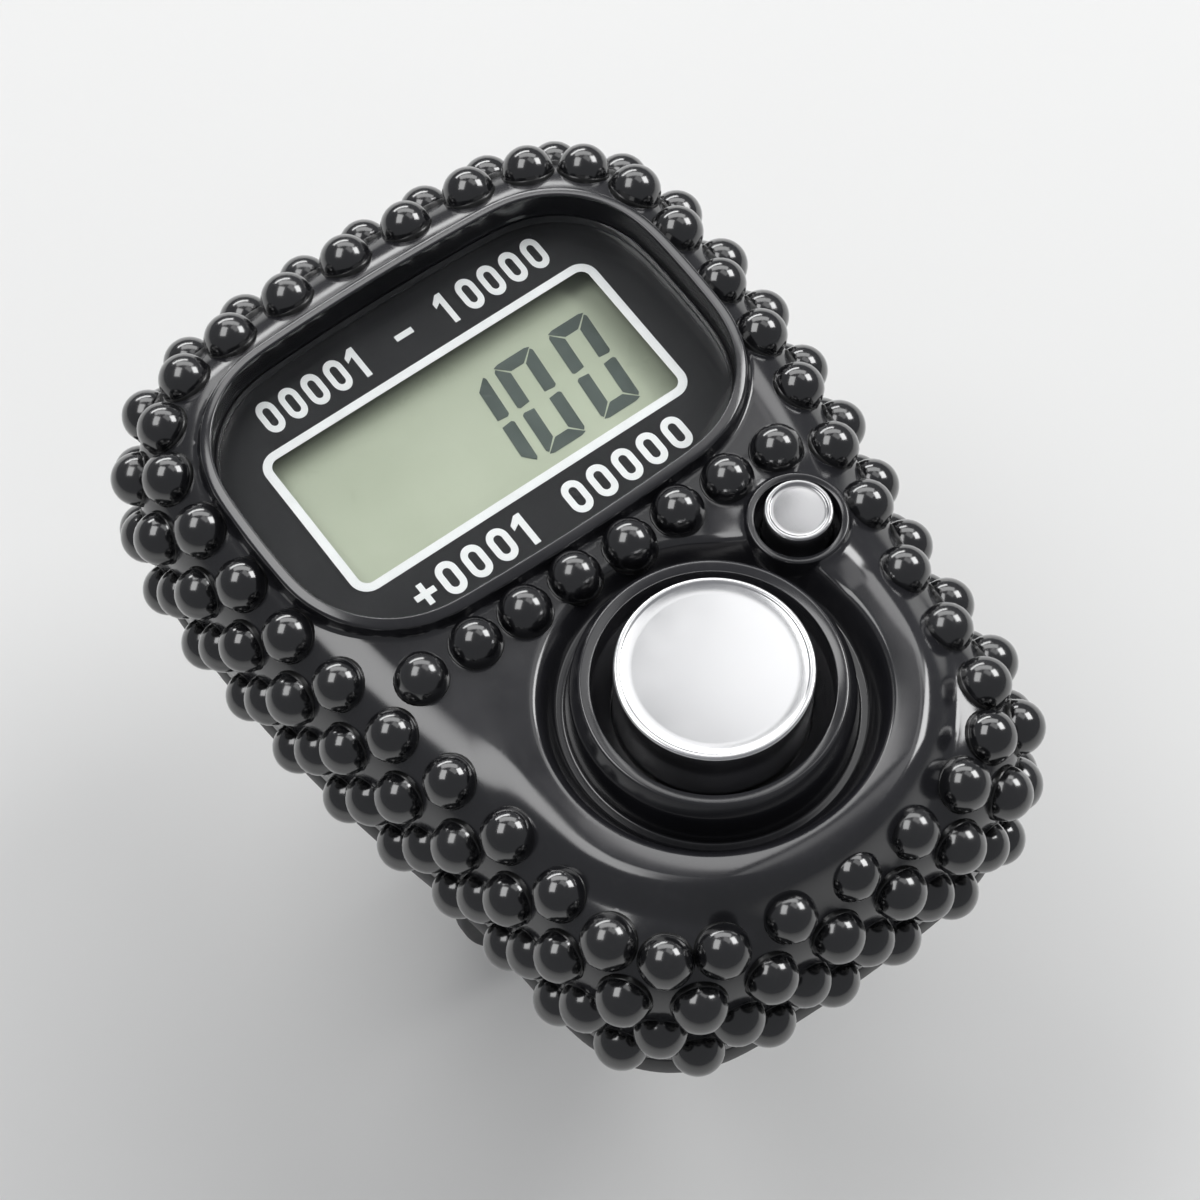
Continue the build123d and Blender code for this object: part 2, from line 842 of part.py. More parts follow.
def screw_section(head_bottom, head_radius, seat, radius, length):
    # Pan-head screw standing head down on its seat.
    return [
        (0, head_bottom),
        (head_radius, head_bottom),
        (head_radius, seat),
        (radius, seat),
        (radius, seat + length),
        (0, seat + length),
    ]


# Screws from the rear cover into the front case
with BuildPart() as case_screws:
    head_face = screw_sink - screw_head_height
    long_screw = screw_section(head_face, screw_head_radius, screw_sink, screw_radius, screw_length)
    for x, y in boss_places:
        revolve(turned_face(x, y, long_screw), axis=axis_at(x, y))
    with BuildSketch(at(head_face)):
        with Locations(*boss_places):
            Rectangle(screw_head_radius, screw_cross_width)
            Rectangle(screw_cross_width, screw_head_radius)
    extrude(amount=screw_cross_depth, mode=Mode.SUBTRACT)

# Screws from the board into the display frame
with BuildPart() as frame_screws:
    short_screw = screw_section(
        board_bottom - frame_screw_head_height,
        frame_screw_head_radius,
        board_bottom,
        frame_screw_radius,
        frame_screw_length,
    )
    for x, y in ear_places:
        revolve(turned_face(x, y, short_screw), axis=axis_at(x, y))


def strap_line(side, reach_x, sweep_angle):
    # Flat strap seen along the finger: out of its slot, eased to the loop, then round it.
    exit_z = back_z - strap_exit_run
    start_angle = 0 if side > 0 else 180
    with BuildSketch(Plane.XZ) as strap:
        with BuildLine():
            stub = Line((side * anchor_x, back_z + floor_thickness), (side * anchor_x, exit_z))
            ease = ((side * anchor_x + side * reach_x) / 2, exit_z / 2)
            upper = TangentArc(stub @ 1, ease, tangent=stub % 1)
            lower = TangentArc(upper @ 1, (side * reach_x, 0), tangent=upper % 1)
            CenterArc((0, 0), reach_x, start_angle, -side * sweep_angle)
        trace(line_width=strap_thickness)
    return strap.sketch


def loop_plane(radius, angle):
    # Plane square to the loop at that angle, facing outwards.
    outward = (cos(radians(angle)), 0, sin(radians(angle)))
    return Plane(origin=(radius * outward[0], 0, radius * outward[2]), z_dir=outward)


def anchor_block(side):
    with BuildSketch(at(floor_thickness)) as block:
        with Locations((side * anchor_x, 0)):
            Rectangle(anchor_width, strap_width)
    return block.sketch


def tail_edges(strap, radius, angle):
    # The two short edges across the thickness at a strap's free end.
    end = strap.faces().sort_by_distance(loop_plane(radius, angle).origin)[0]
    return end.edges().filter_by(Axis.Y, reverse=True)


anchor_height = board_bottom - floor_thickness - anchor_clearance
inner_reach = loop_radius + strap_thickness / 2
outer_reach = inner_reach + strap_layer_gap + strap_thickness

# Inner half of the strap, with its mushroom peg
with BuildPart() as strap_pegged:
    extrude(strap_line(-1, inner_reach, pegged_sweep_angle), amount=strap_width / 2, both=True)
    fillet(tail_edges(strap_pegged, inner_reach, 180 + pegged_sweep_angle), strap_tail_radius)
    extrude(anchor_block(-1), amount=anchor_height)
    with BuildSketch(loop_plane(inner_reach, peg_angle)):
        Circle(peg_radius)
    extrude(amount=outer_reach - inner_reach + strap_thickness / 2 + peg_clearance)
    with BuildSketch(loop_plane(outer_reach + strap_thickness / 2 + peg_clearance, peg_angle)):
        Circle(peg_head_radius)
    extrude(amount=peg_head_height, taper=peg_head_taper_angle)

# Outer half of the strap, with its row of holes
with BuildPart() as strap_holed:
    extrude(strap_line(1, outer_reach, holed_sweep_angle), amount=strap_width / 2, both=True)
    fillet(tail_edges(strap_holed, outer_reach, -holed_sweep_angle), strap_tail_radius)
    extrude(anchor_block(1), amount=anchor_height)
    hole_step = degrees(strap_hole_pitch / outer_reach)
    for step in range(-strap_holes_past_peg_count, strap_holes_past_peg_count + 1):
        with BuildSketch(loop_plane(outer_reach, peg_angle + step * hole_step)):
            Circle(peg_radius + peg_clearance)
        extrude(amount=strap_thickness, both=True, mode=Mode.SUBTRACT)

# Bead rows follow the outline of the case, staggered from row to row
outline_path = case_outline().face().outer_wire()
bead_count = round(outline_path.length / bead_pitch)
top_share = outline_path.param_at_point((0, half_length, 0))


def bead_places(inset, height, tilt_angle, stagger_share):
    # Planes on the case's skin, evenly spaced round the outline and leaning out by the tilt.
    places = []
    for index in range(bead_count):
        share = (top_share + (index + stagger_share) / bead_count) % 1
        outward = outline_path.tangent_at(share).cross(Vector(0, 0, 1))
        normal = outward * sin(radians(tilt_angle)) + Vector(0, 0, 1) * cos(radians(tilt_angle))
        foot = outline_path.position_at(share) - outward * inset + Vector(0, 0, back_z + height)
        places.append(Plane(origin=foot + normal * bead_glue, z_dir=normal))
    return places


def edge_row(tilt_angle):
    # Inset and height of a row on the rounded edge, where the skin leans by that angle.
    inset = edge_radius * (1 - sin(radians(tilt_angle)))
    height = face_height - edge_radius * (1 - cos(radians(tilt_angle)))
    return inset, height


upper_row = edge_row(side_bead_angle)
lowest_row = parting_height + parting_gap + bead_radius
middle_row = (upper_row[1] + lowest_row) / 2

# One half-round bead in few flat facets, because the rows repeat it so often
with BuildPart() as bead:
    with BuildSketch():
        RegularPolygon(bead_radius, bead_side_count)
    extrude(amount=bead_radius)
    chamfer(bead.faces().sort_by(Axis.Z)[-1].edges(), bead_shoulder_chamfer)

with BuildPart() as beads_face_rim:
    with Locations(*bead_places(*edge_row(rim_bead_angle), rim_bead_angle, 0)):
        add(bead.part)

with BuildPart() as beads_upper_side:
    with Locations(*bead_places(*upper_row, side_bead_angle, 1 / 2)):
        add(bead.part)

with BuildPart() as beads_middle_side:
    with Locations(*bead_places(0, middle_row, wall_bead_angle, 0)):
        add(bead.part)

with BuildPart() as beads_lower_side:
    with Locations(*bead_places(0, lowest_row, wall_bead_angle, 1 / 2)):
        add(bead.part)

# Straight row between the display and the buttons
cross_pitch = 2 * bead_radius + cross_bead_gap
with BuildPart(at(face_height + bead_glue)) as beads_cross_row:
    with Locations((0, cross_y)):
        with GridLocations(cross_pitch, 0, cross_bead_count, 1):
            add(bead.part)

pieces = {
    "front_case": front_case,
    "rear_cover": rear_cover,
    "display_lens": display_lens,
    "display_mask": display_mask,
    "lcd_polariser": lcd_polariser,
    "lcd_front_glass": lcd_front_glass,
    "lcd_rear_glass": lcd_rear_glass,
    "lcd_reflector": lcd_reflector,
    "zebra_strip": zebra_strip,
    "lcd_frame": lcd_frame,
    "circuit_board": circuit_board,
    "chip_blob": chip_blob,
    "board_chips": board_chips,
    "count_button": count_button,
    "count_pill": count_pill,
    "count_dome": count_dome,
    "reset_button": reset_button,
    "reset_pill": reset_pill,
    "reset_dome": reset_dome,
    "battery_door": battery_door,
    "button_cell": button_cell,
    "contact_negative": contact_negative,
    "contact_positive": contact_positive,
    "case_screws": case_screws,
    "frame_screws": frame_screws,
    "strap_pegged": strap_pegged,
    "strap_holed": strap_holed,
    "beads_face_rim": beads_face_rim,
    "beads_upper_side": beads_upper_side,
    "beads_middle_side": beads_middle_side,
    "beads_lower_side": beads_lower_side,
    "beads_cross_row": beads_cross_row,
}

os.makedirs("parts", exist_ok=True)
for name, piece in pieces.items():
    piece.part.label = name
    export_step(piece.part, f"parts/{name}.step")
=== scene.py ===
import math

import bmesh
import bpy
import numpy as np
from mathutils import Matrix, Vector
from mathutils.geometry import delaunay_2d_cdt


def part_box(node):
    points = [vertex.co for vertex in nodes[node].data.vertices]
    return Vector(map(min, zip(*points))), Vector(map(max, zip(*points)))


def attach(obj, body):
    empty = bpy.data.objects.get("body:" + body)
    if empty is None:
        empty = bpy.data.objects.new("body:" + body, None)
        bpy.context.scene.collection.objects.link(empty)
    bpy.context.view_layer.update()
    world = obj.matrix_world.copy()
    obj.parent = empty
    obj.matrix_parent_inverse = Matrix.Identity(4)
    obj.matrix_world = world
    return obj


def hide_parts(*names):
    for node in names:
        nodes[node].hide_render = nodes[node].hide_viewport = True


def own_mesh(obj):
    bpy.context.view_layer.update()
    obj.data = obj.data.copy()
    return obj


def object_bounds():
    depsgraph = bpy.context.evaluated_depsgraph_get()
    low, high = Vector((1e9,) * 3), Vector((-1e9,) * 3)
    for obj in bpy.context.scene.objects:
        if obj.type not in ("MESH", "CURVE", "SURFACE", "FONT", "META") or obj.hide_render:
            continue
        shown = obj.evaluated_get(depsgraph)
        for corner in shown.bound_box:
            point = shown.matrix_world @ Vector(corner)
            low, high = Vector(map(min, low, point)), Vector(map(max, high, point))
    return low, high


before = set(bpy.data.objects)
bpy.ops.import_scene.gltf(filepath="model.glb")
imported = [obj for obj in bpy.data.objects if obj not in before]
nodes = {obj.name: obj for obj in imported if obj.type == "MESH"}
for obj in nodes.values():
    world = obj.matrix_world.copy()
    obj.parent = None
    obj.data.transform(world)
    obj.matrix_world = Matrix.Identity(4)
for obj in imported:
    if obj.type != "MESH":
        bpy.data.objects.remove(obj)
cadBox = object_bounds()
mm = 0.001  # shapes below are in millimetres, Blender in metres
print("frame loaded with", len(nodes), "nodes")


def boxOf(node):
    low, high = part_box(node)
    return low / mm, high / mm


def middleOf(low, high):
    return (low.x + high.x) / 2, (low.y + high.y) / 2


# mesh helpers

def cornersRounded(path, radii, steps=5):
    # open path of (radius, height) points, each inner corner eased by its own radius
    made = [tuple(path[0])]
    for before, corner, after, radius in zip(path, path[1:], path[2:], radii):
        if radius == 0:
            made.append(tuple(corner))
            continue
        toBefore = (Vector(before) - Vector(corner)).normalized()
        toAfter = (Vector(after) - Vector(corner)).normalized()
        half = toBefore.angle(toAfter) / 2
        middle = Vector(corner) + (toBefore + toAfter).normalized() * radius / math.sin(half)
        start = Vector(corner) + toBefore * radius / math.tan(half) - middle
        end = Vector(corner) + toAfter * radius / math.tan(half) - middle
        for step in range(steps + 1):
            made.append(tuple(middle + start.slerp(end, step / steps) * radius))
    made.append(tuple(path[-1]))
    return made


def outlineOf(node, height):
    # longest edge loop of a node's flat face at that height
    shape = bmesh.new()
    shape.from_mesh(nodes[node].data)
    bmesh.ops.remove_doubles(shape, verts=shape.verts, dist=1e-6)
    flat = {f for f in shape.faces if all(abs(v.co.z / mm - height) < 1e-3 for v in f.verts)}
    nextTo = {}
    for face in flat:
        for edge in face.edges:
            if sum(f in flat for f in edge.link_faces) == 1:
                a, b = edge.verts
                nextTo.setdefault(a, []).append(b)
                nextTo.setdefault(b, []).append(a)
    loops = []
    while nextTo:
        current, last, loop = next(iter(nextTo)), None, []
        while current in nextTo:
            loop.append((current.co.x / mm, current.co.y / mm))
            onward = [v for v in nextTo.pop(current) if v is not last and v in nextTo]
            last, current = current, onward[0] if onward else None
        loops.append(np.array(loop))
    shape.free()
    best = max(loops, key=lambda loop: np.linalg.norm(loop - np.roll(loop, 1, axis=0), axis=1).sum())
    turn = np.cross(best, np.roll(best, -1, axis=0)).sum()
    return best if turn > 0 else best[::-1]


def lengthsAlong(line):
    return np.concatenate([[0], np.cumsum(np.linalg.norm(np.diff(line, axis=0), axis=1))])


def pickedAlong(wanted, along, line):
    return np.column_stack([np.interp(wanted, along, line[:, k]) for k in (0, 1)])


def evenLoop(loop, count, easing=14):
    # the same loop in equal steps from its top middle, eased a little so that it shades smoothly
    upper = loop[:, 1] > loop[:, 1].mean()
    crossing = upper & (loop[:, 0] >= 0) & (np.roll(loop[:, 0], -1) < 0)
    first = int(np.argmax(crossing))
    a, b = loop[first], loop[(first + 1) % len(loop)]
    topMiddle = a + (b - a) * a[0] / (a[0] - b[0])
    closed = np.vstack([topMiddle, np.roll(loop, -first - 1, axis=0), topMiddle])
    along = lengthsAlong(closed)
    picked = pickedAlong(np.arange(count) * along[-1] / count, along, closed)
    for _ in range(easing):
        picked = (np.roll(picked, 1, axis=0) + 2 * picked + np.roll(picked, -1, axis=0)) / 4
    return picked


def grown(loop, distance):
    return loop + outwardOf(loop) * distance


def outwardOf(loop):
    along = np.roll(loop, -1, axis=0) - np.roll(loop, 1, axis=0)
    out = np.column_stack([along[:, 1], -along[:, 0]])
    return out / np.linalg.norm(out, axis=1)[:, None]


def circleLoop(centre, radius, count):
    angles = np.linspace(0, 2 * math.pi, count, endpoint=False)
    return np.column_stack([centre[0] + radius * np.cos(angles), centre[1] + radius * np.sin(angles)])


def roundedBox(centre, width, height, radius, steps=6):
    # rectangle loop with round corners
    loop = []
    for k, (sx, sy) in enumerate([(1, 1), (-1, 1), (-1, -1), (1, -1)]):
        cx = centre[0] + sx * (width / 2 - radius)
        cy = centre[1] + sy * (height / 2 - radius)
        for step in range(steps + 1):
            a = math.pi / 2 * (k + step / steps)
            loop.append((cx + radius * math.cos(a), cy + radius * math.sin(a)))
    return np.array(loop)


def crossLoop(centre, long, half):
    # upright cross with arms long by twice half
    loop = []
    for k in range(4):
        turn = Matrix.Rotation(math.pi / 2 * k, 2)
        for corner in ((long, -half), (long, half), (half, half)):
            loop.append(tuple(turn @ Vector(corner) + Vector(centre)))
    return np.array(loop)


def gridPoints(xs, ys):
    gridX, gridY = np.meshgrid(xs, ys)
    return np.column_stack([gridX.ravel(), gridY.ravel()])


def insideLoop(points, loop):
    inside = np.zeros(len(points), bool)
    x, y = points[:, 0], points[:, 1]
    for (ax, ay), (bx, by) in zip(loop, np.roll(loop, -1, axis=0)):
        crosses = (ay > y) != (by > y)
        at = ax + (y - ay) * (bx - ax) / ((by - ay) if by != ay else 1e-12)
        inside ^= crosses & (x < at)
    return inside


def distanceTo(points, loop):
    # distance of each point from a closed loop
    best = np.full(len(points), 1e9)
    for a, b in zip(loop, np.roll(loop, -1, axis=0)):
        ab = b - a
        t = np.clip(((points - a) @ ab) / (ab @ ab), 0, 1)
        best = np.minimum(best, np.linalg.norm(points - a - t[:, None] * ab, axis=1))
    return best


def filledSheet(outer, holes, extra=(), spacing=0.2):
    # flat net of triangles inside a loop and outside its holes, with extra points kept apart
    loops = [outer, *holes]
    placed = list(np.vstack(loops))
    edges, ranges, cells, start = [], [], {}, 0
    for loop in loops:
        ranges.append(range(start, start + len(loop)))
        edges += [(start + i, start + (i + 1) % len(loop)) for i in range(len(loop))]
        start += len(loop)

    def within(points):
        good = insideLoop(points, outer)
        for hole in holes:
            good &= ~insideLoop(points, hole)
        return good

    def cellOf(p):
        return int(p[0] // spacing), int(p[1] // spacing)

    def isFree(p):
        cx, cy = cellOf(p)
        near = [q for i in (-1, 0, 1) for j in (-1, 0, 1) for q in cells.get((cx + i, cy + j), ())]
        return all((p[0] - q[0]) ** 2 + (p[1] - q[1]) ** 2 > spacing ** 2 for q in near)

    for p in placed:
        cells.setdefault(cellOf(p), []).append(p)
    if len(extra):
        for p in extra[within(extra)]:
            if isFree(p):
                placed.append(p)
                cells.setdefault(cellOf(p), []).append(p)
    points, _, faces, origin, _, _ = delaunay_2d_cdt([Vector(p) for p in placed], edges, [], 0, 1e-7)
    points = np.array([tuple(p) for p in points])
    good = within(np.array([points[list(f)].mean(axis=0) for f in faces]))
    newNumber = {old: new for new, olds in enumerate(origin) for old in olds}
    rings = [[newNumber[i] for i in r] for r in ranges]
    return points, [tuple(f) for f, keep in zip(faces, good) if keep], rings


def bridged(first, second):
    # faces between two rings of point numbers, either of which may be a single point
    count = max(len(first), len(second))
    faces = []
    for i in range(count):
        j = (i + 1) % count
        corners = [ring[k % len(ring)] for ring, k in ((first, i), (first, j), (second, j), (second, i))]
        faces.append(tuple(dict.fromkeys(corners)))
    return faces


class Net:
    # mesh in the making: sheets and rings of points joined to one another
    def __init__(self):
        self.points, self.faces = [], []

    def ring(self, loop, heights):
        start = len(self.points)
        self.points += [(x, y, z) for (x, y), z in zip(loop, np.broadcast_to(heights, len(loop)))]
        return list(range(start, len(self.points)))

    def heights(self, ring):
        return np.array([self.points[i][2] for i in ring])

    def skirt(self, ring, steps):
        # steps: (loop, height) pairs hung from a ring, one after the other
        for loop, height in steps:
            onward = self.ring(loop, height)
            self.faces += bridged(ring, onward)
            ring = onward
        return ring

    def sheet(self, loops, heightOf, extra=(), spacing=0.2):
        # net inside the first loop and outside the others: its flat points and the rings at its edges
        flat, faces, rings = filledSheet(loops[0], loops[1:], extra, spacing)
        numbers = self.ring(flat, heightOf(flat))
        self.faces += [tuple(numbers[i] for i in face) for face in faces]
        return flat, [[numbers[i] for i in ring] for ring in rings]

    def close(self, rings):
        # flat sheet between rings that lie at one height
        loops = [np.array([self.points[i][:2] for i in ring]) for ring in rings]
        _, faces, found = filledSheet(loops[0], loops[1:])
        number = {new: old for ring, news in zip(rings, found) for new, old in zip(news, ring)}
        self.faces += [tuple(number[i] for i in face) for face in faces]


def offsets(loop, path):
    # skirt steps from (outward, height) pairs
    return [(grown(loop, out), height) for out, height in path]


def circles(centre, count, path):
    # skirt steps from (radius, height) pairs, with a single point on the axis
    return [(circleLoop(centre, r, count if r > 1e-6 else 1), height) for r, height in path]


def turned(path, centre, count):
    # form turned about an upright axis
    net = Net()
    first, *others = circles(centre, count, path)
    net.skirt(net.ring(*first), others)
    return net.points, net.faces


def plate(outer, holes, low, high, bevel, extra=(), steps=3, spacing=0.2):
    # flat slab with eased edges, holes included
    net = Net()
    loops = [(outer, -1)] + [(hole, 1) for hole in holes]
    inner = [grown(loop, sign * bevel) for loop, sign in loops]
    tops, bottoms = [net.sheet(inner, lambda flat: z, extra, spacing)[1] for z in (high, low)]
    quarter = [math.pi / 2 * step / steps for step in range(1, steps + 1)]
    ease = [(bevel * (1 - math.sin(a)), bevel * (1 - math.cos(a))) for a in quarter]
    for (loop, sign), top, bottom in zip(loops, tops, bottoms):
        path = [(sign * inset, high - drop) for inset, drop in ease]
        path += [(sign * inset, low + drop) for inset, drop in reversed(ease)]
        net.faces += bridged(net.skirt(top, offsets(loop, path)), bottom)
    normals = [(0, 0, 1) if z == high else (0, 0, -1) if z == low else (0, 0, 0) for *_, z in net.points]
    return net.points, net.faces, normals


def prism(outline, low, high):
    count = len(outline)
    points = [(x, y, z) for z in (low, high) for x, y in outline]
    faces = [tuple(range(count)), tuple(range(count, 2 * count))]
    return points, faces + bridged(range(count), range(count, 2 * count))


def standing(part, foot, out, scale=1):
    # a part built upright at the origin, moved to foot with its axis along out
    points, faces = part
    turn = Vector(out).normalized().to_track_quat("Z", "Y").to_matrix()
    return [tuple(turn @ (Vector(p) * scale) + Vector(foot)) for p in points], faces


def joined(parts):
    points, faces, normals = [], [], []
    for part in parts:
        start = len(points)
        points += [tuple(p) for p in part[0]]
        faces += [tuple(start + i for i in face) for face in part[1]]
        normals += part[2] if len(part) > 2 else [(0, 0, 0)] * len(part[0])
    return points, faces, normals


def makePiece(name, part, material, body="case", stands=(), sharp=40):
    # part: points, faces and, where the plain smoothing isn't enough, a normal for each point
    points, faces = part[:2]
    mesh = bpy.data.meshes.new(name)
    mesh.from_pydata([(x * mm, y * mm, z * mm) for x, y, z in points], [], faces)
    shape = bmesh.new()
    shape.from_mesh(mesh)
    bmesh.ops.recalc_face_normals(shape, faces=shape.faces)
    shape.to_mesh(mesh)
    shape.free()
    mesh.polygons.foreach_set("use_smooth", [True] * len(mesh.polygons))
    mesh.set_sharp_from_angle(angle=math.radians(sharp))
    if len(part) > 2 and any(n != (0, 0, 0) for n in part[2]):
        mesh.normals_split_custom_set_from_vertices(part[2])
    mesh.materials.append(finish[material])
    piece = bpy.data.objects.new(name, mesh)
    bpy.context.scene.collection.objects.link(piece)
    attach(piece, body)
    if stands:
        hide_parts(*stands)
    return piece


# shader helpers

def titled(key):
    return "".join(" " + c if c.isupper() else c for c in key).title()


def addNode(tree, kind, feeds=(), **settings):
    # settings: options, input values or outputs to link; feeds: outputs for the inputs in order
    node = tree.nodes.new(kind)
    for key, value in settings.items():
        title = titled(key)
        if title not in node.inputs:
            setattr(node, key, value)
        elif isinstance(value, bpy.types.NodeSocket):
            tree.links.new(value, node.inputs[title])
        else:
            node.inputs[title].default_value = value
    for socket, feed in zip(node.inputs, feeds):
        tree.links.new(feed, socket)
    return node


def mathNode(tree, operation, first, second):
    return addNode(tree, "ShaderNodeMath", (first, second), operation=operation).outputs["Value"]


def stretched(tree, source, low, high, fromLow=0.3, fromHigh=0.7):
    # a value spread over a range
    spread = addNode(tree, "ShaderNodeMapRange", value=source, fromMin=fromLow, fromMax=fromHigh, toMin=low,
                     toMax=high)
    return spread.outputs["Result"]


def objectNoise(tree, scale, detail, roughness):
    place = addNode(tree, "ShaderNodeTexCoord").outputs["Object"]
    noise = addNode(tree, "ShaderNodeTexNoise", vector=place, scale=scale, detail=detail,
                    roughness=roughness)
    return noise.outputs["Fac"]


def newGroup(name, outputs, **inputs):
    group = bpy.data.node_groups.new(name, "ShaderNodeTree")
    for key, value in inputs.items():
        socket = group.interface.new_socket(titled(key), in_out="INPUT", socket_type="NodeSocketFloat")
        socket.default_value = value
    for title in outputs:
        group.interface.new_socket(title, in_out="OUTPUT", socket_type="NodeSocketFloat")
    return group, group.nodes.new("NodeGroupInput").outputs, group.nodes.new("NodeGroupOutput").inputs


def makeGrainGroup():
    # fine and coarse cloudiness of a moulded or printed surface
    group, given, result = newGroup("surfaceGrain", ("Fine", "Coarse"), fineScale=2500, coarseScale=180)
    for title in ("Fine", "Coarse"):
        group.links.new(objectNoise(group, given[title + " Scale"], 5, 0.6), result[title])
    return group


def makeMaskGroup(name, source, socket, fromLow, fromHigh, noise, noiseFrom, **inputs):
    # patches of noise where one geometry value is high, times an amount
    group, given, result = newGroup(name, ("Mask",), **inputs)
    value = addNode(group, "ShaderNodeNewGeometry").outputs[source]
    if socket:
        value = addNode(group, "ShaderNodeSeparateXYZ", vector=value).outputs[socket]
    patches = objectNoise(group, given[1], *noise)
    if noiseFrom:
        patches = stretched(group, patches, 0, 1, *noiseFrom)
    mask = mathNode(group, "MULTIPLY", stretched(group, value, 0, 1, fromLow, fromHigh), patches)
    group.links.new(mathNode(group, "MULTIPLY", mask, given["Amount"]), result["Mask"])
    return group


grainGroup = makeGrainGroup()
# thin dust on what faces up, and sharp edges made lighter: partly rubbed by handling, partly a painted edge
# sheen
dustGroup = makeMaskGroup("settledDust", "Normal", "Z", 0.35, 1, (8, 0.75), (0.52, 0.78), amount=0.1,
                          speckScale=1500)
edgeRubAndSheenGroup = makeMaskGroup("rubbedEdgesAndSheen", "Pointiness", None, 0.53, 0.62, (6, 0.7), None, amount=0.3,
                          patchScale=500)
dustColour = (0.35, 0.34, 0.32)
shaderInputs = (("Metallic", "metallic", 0), ("Coat Weight", "coat", 0),
                ("Coat Roughness", "coatRoughness", 0.03),
                ("Specular IOR Level", "specular", 0.5), ("Subsurface Weight", "subsurface", 0),
                ("Subsurface Scale", "subsurfaceScale", 0.001))


def twoColours(tree, mask, first, second):
    # first and second are colours or colour outputs
    mix = addNode(tree, "ShaderNodeMix", data_type="RGBA", factor=mask)
    for title, value in (("A", first), ("B", second)):
        socket = next(s for s in mix.inputs if s.name == title and s.type == "RGBA")
        if isinstance(value, tuple):
            socket.default_value = (*value, 1)
        else:
            tree.links.new(value, socket)
    return next(s for s in mix.outputs if s.type == "RGBA")


def striped(tree, colour, other, direction, pitch, wobble, share, blur=0.04):
    # lines of another colour across the surface, pitch in millimetres
    place = addNode(tree, "ShaderNodeTexCoord").outputs["Object"]
    wave = addNode(tree, "ShaderNodeTexWave", bands_direction=direction, scale=math.pi / (10 * pitch * mm),
                   distortion=wobble, vector=place)
    mask = stretched(tree, wave.outputs["Fac"], 0, 1, 1 - share - blur, 1 - share + blur)
    return twoColours(tree, mask, colour, other)


def newMaterial(name, look):
    # dark and light base colours, roughness range and bump of one finish; extras by keyword
    material = bpy.data.materials.new(name)
    material.use_nodes = True
    tree = material.node_tree
    shader = tree.nodes["Principled BSDF"]
    for title, key, value in shaderInputs:
        shader.inputs[title].default_value = look.get(key, value)
    grain = addNode(tree, "ShaderNodeGroup", node_tree=grainGroup, fineScale=look["fineScale"],
                    coarseScale=look["coarseScale"]).outputs
    colour = twoColours(tree, stretched(tree, grain["Coarse"], 0, 1), look["dark"], look["light"])
    if "stripes" in look:
        colour = striped(tree, colour, **look["stripes"])
    # sharp edges take a lighter colour, which is rub wear and painted edge sheen together; then dust on
    # what faces up
    for key, group, other in (("rub", edgeRubAndSheenGroup, look.get("rubAndSheenColour")), ("dust", dustGroup, dustColour)):
        if key in look:
            mask = addNode(tree, "ShaderNodeGroup", node_tree=group, amount=look[key]).outputs["Mask"]
            colour = twoColours(tree, mask, colour, other)
    tree.links.new(colour, shader.inputs["Base Color"])
    tree.links.new(stretched(tree, grain["Coarse"], *look["roughness"]), shader.inputs["Roughness"])
    if "bump" in look:
        bump = addNode(tree, "ShaderNodeBump", strength=look["bump"],
                       distance=look.get("bumpDepth", 0.00002), height=grain["Fine"])
        tree.links.new(bump.outputs["Normal"], shader.inputs["Normal"])
    return material, tree, shader


def letThrough(tree, factor, shader, colour=(1, 1, 1)):
    # clear where the factor is one
    clear = addNode(tree, "ShaderNodeBsdfTransparent", color=(*colour, 1))
    mix = addNode(tree, "ShaderNodeMixShader", (factor, shader.outputs["BSDF"], clear.outputs["BSDF"]))
    tree.links.new(mix.outputs["Shader"], tree.nodes["Material Output"].inputs["Surface"])
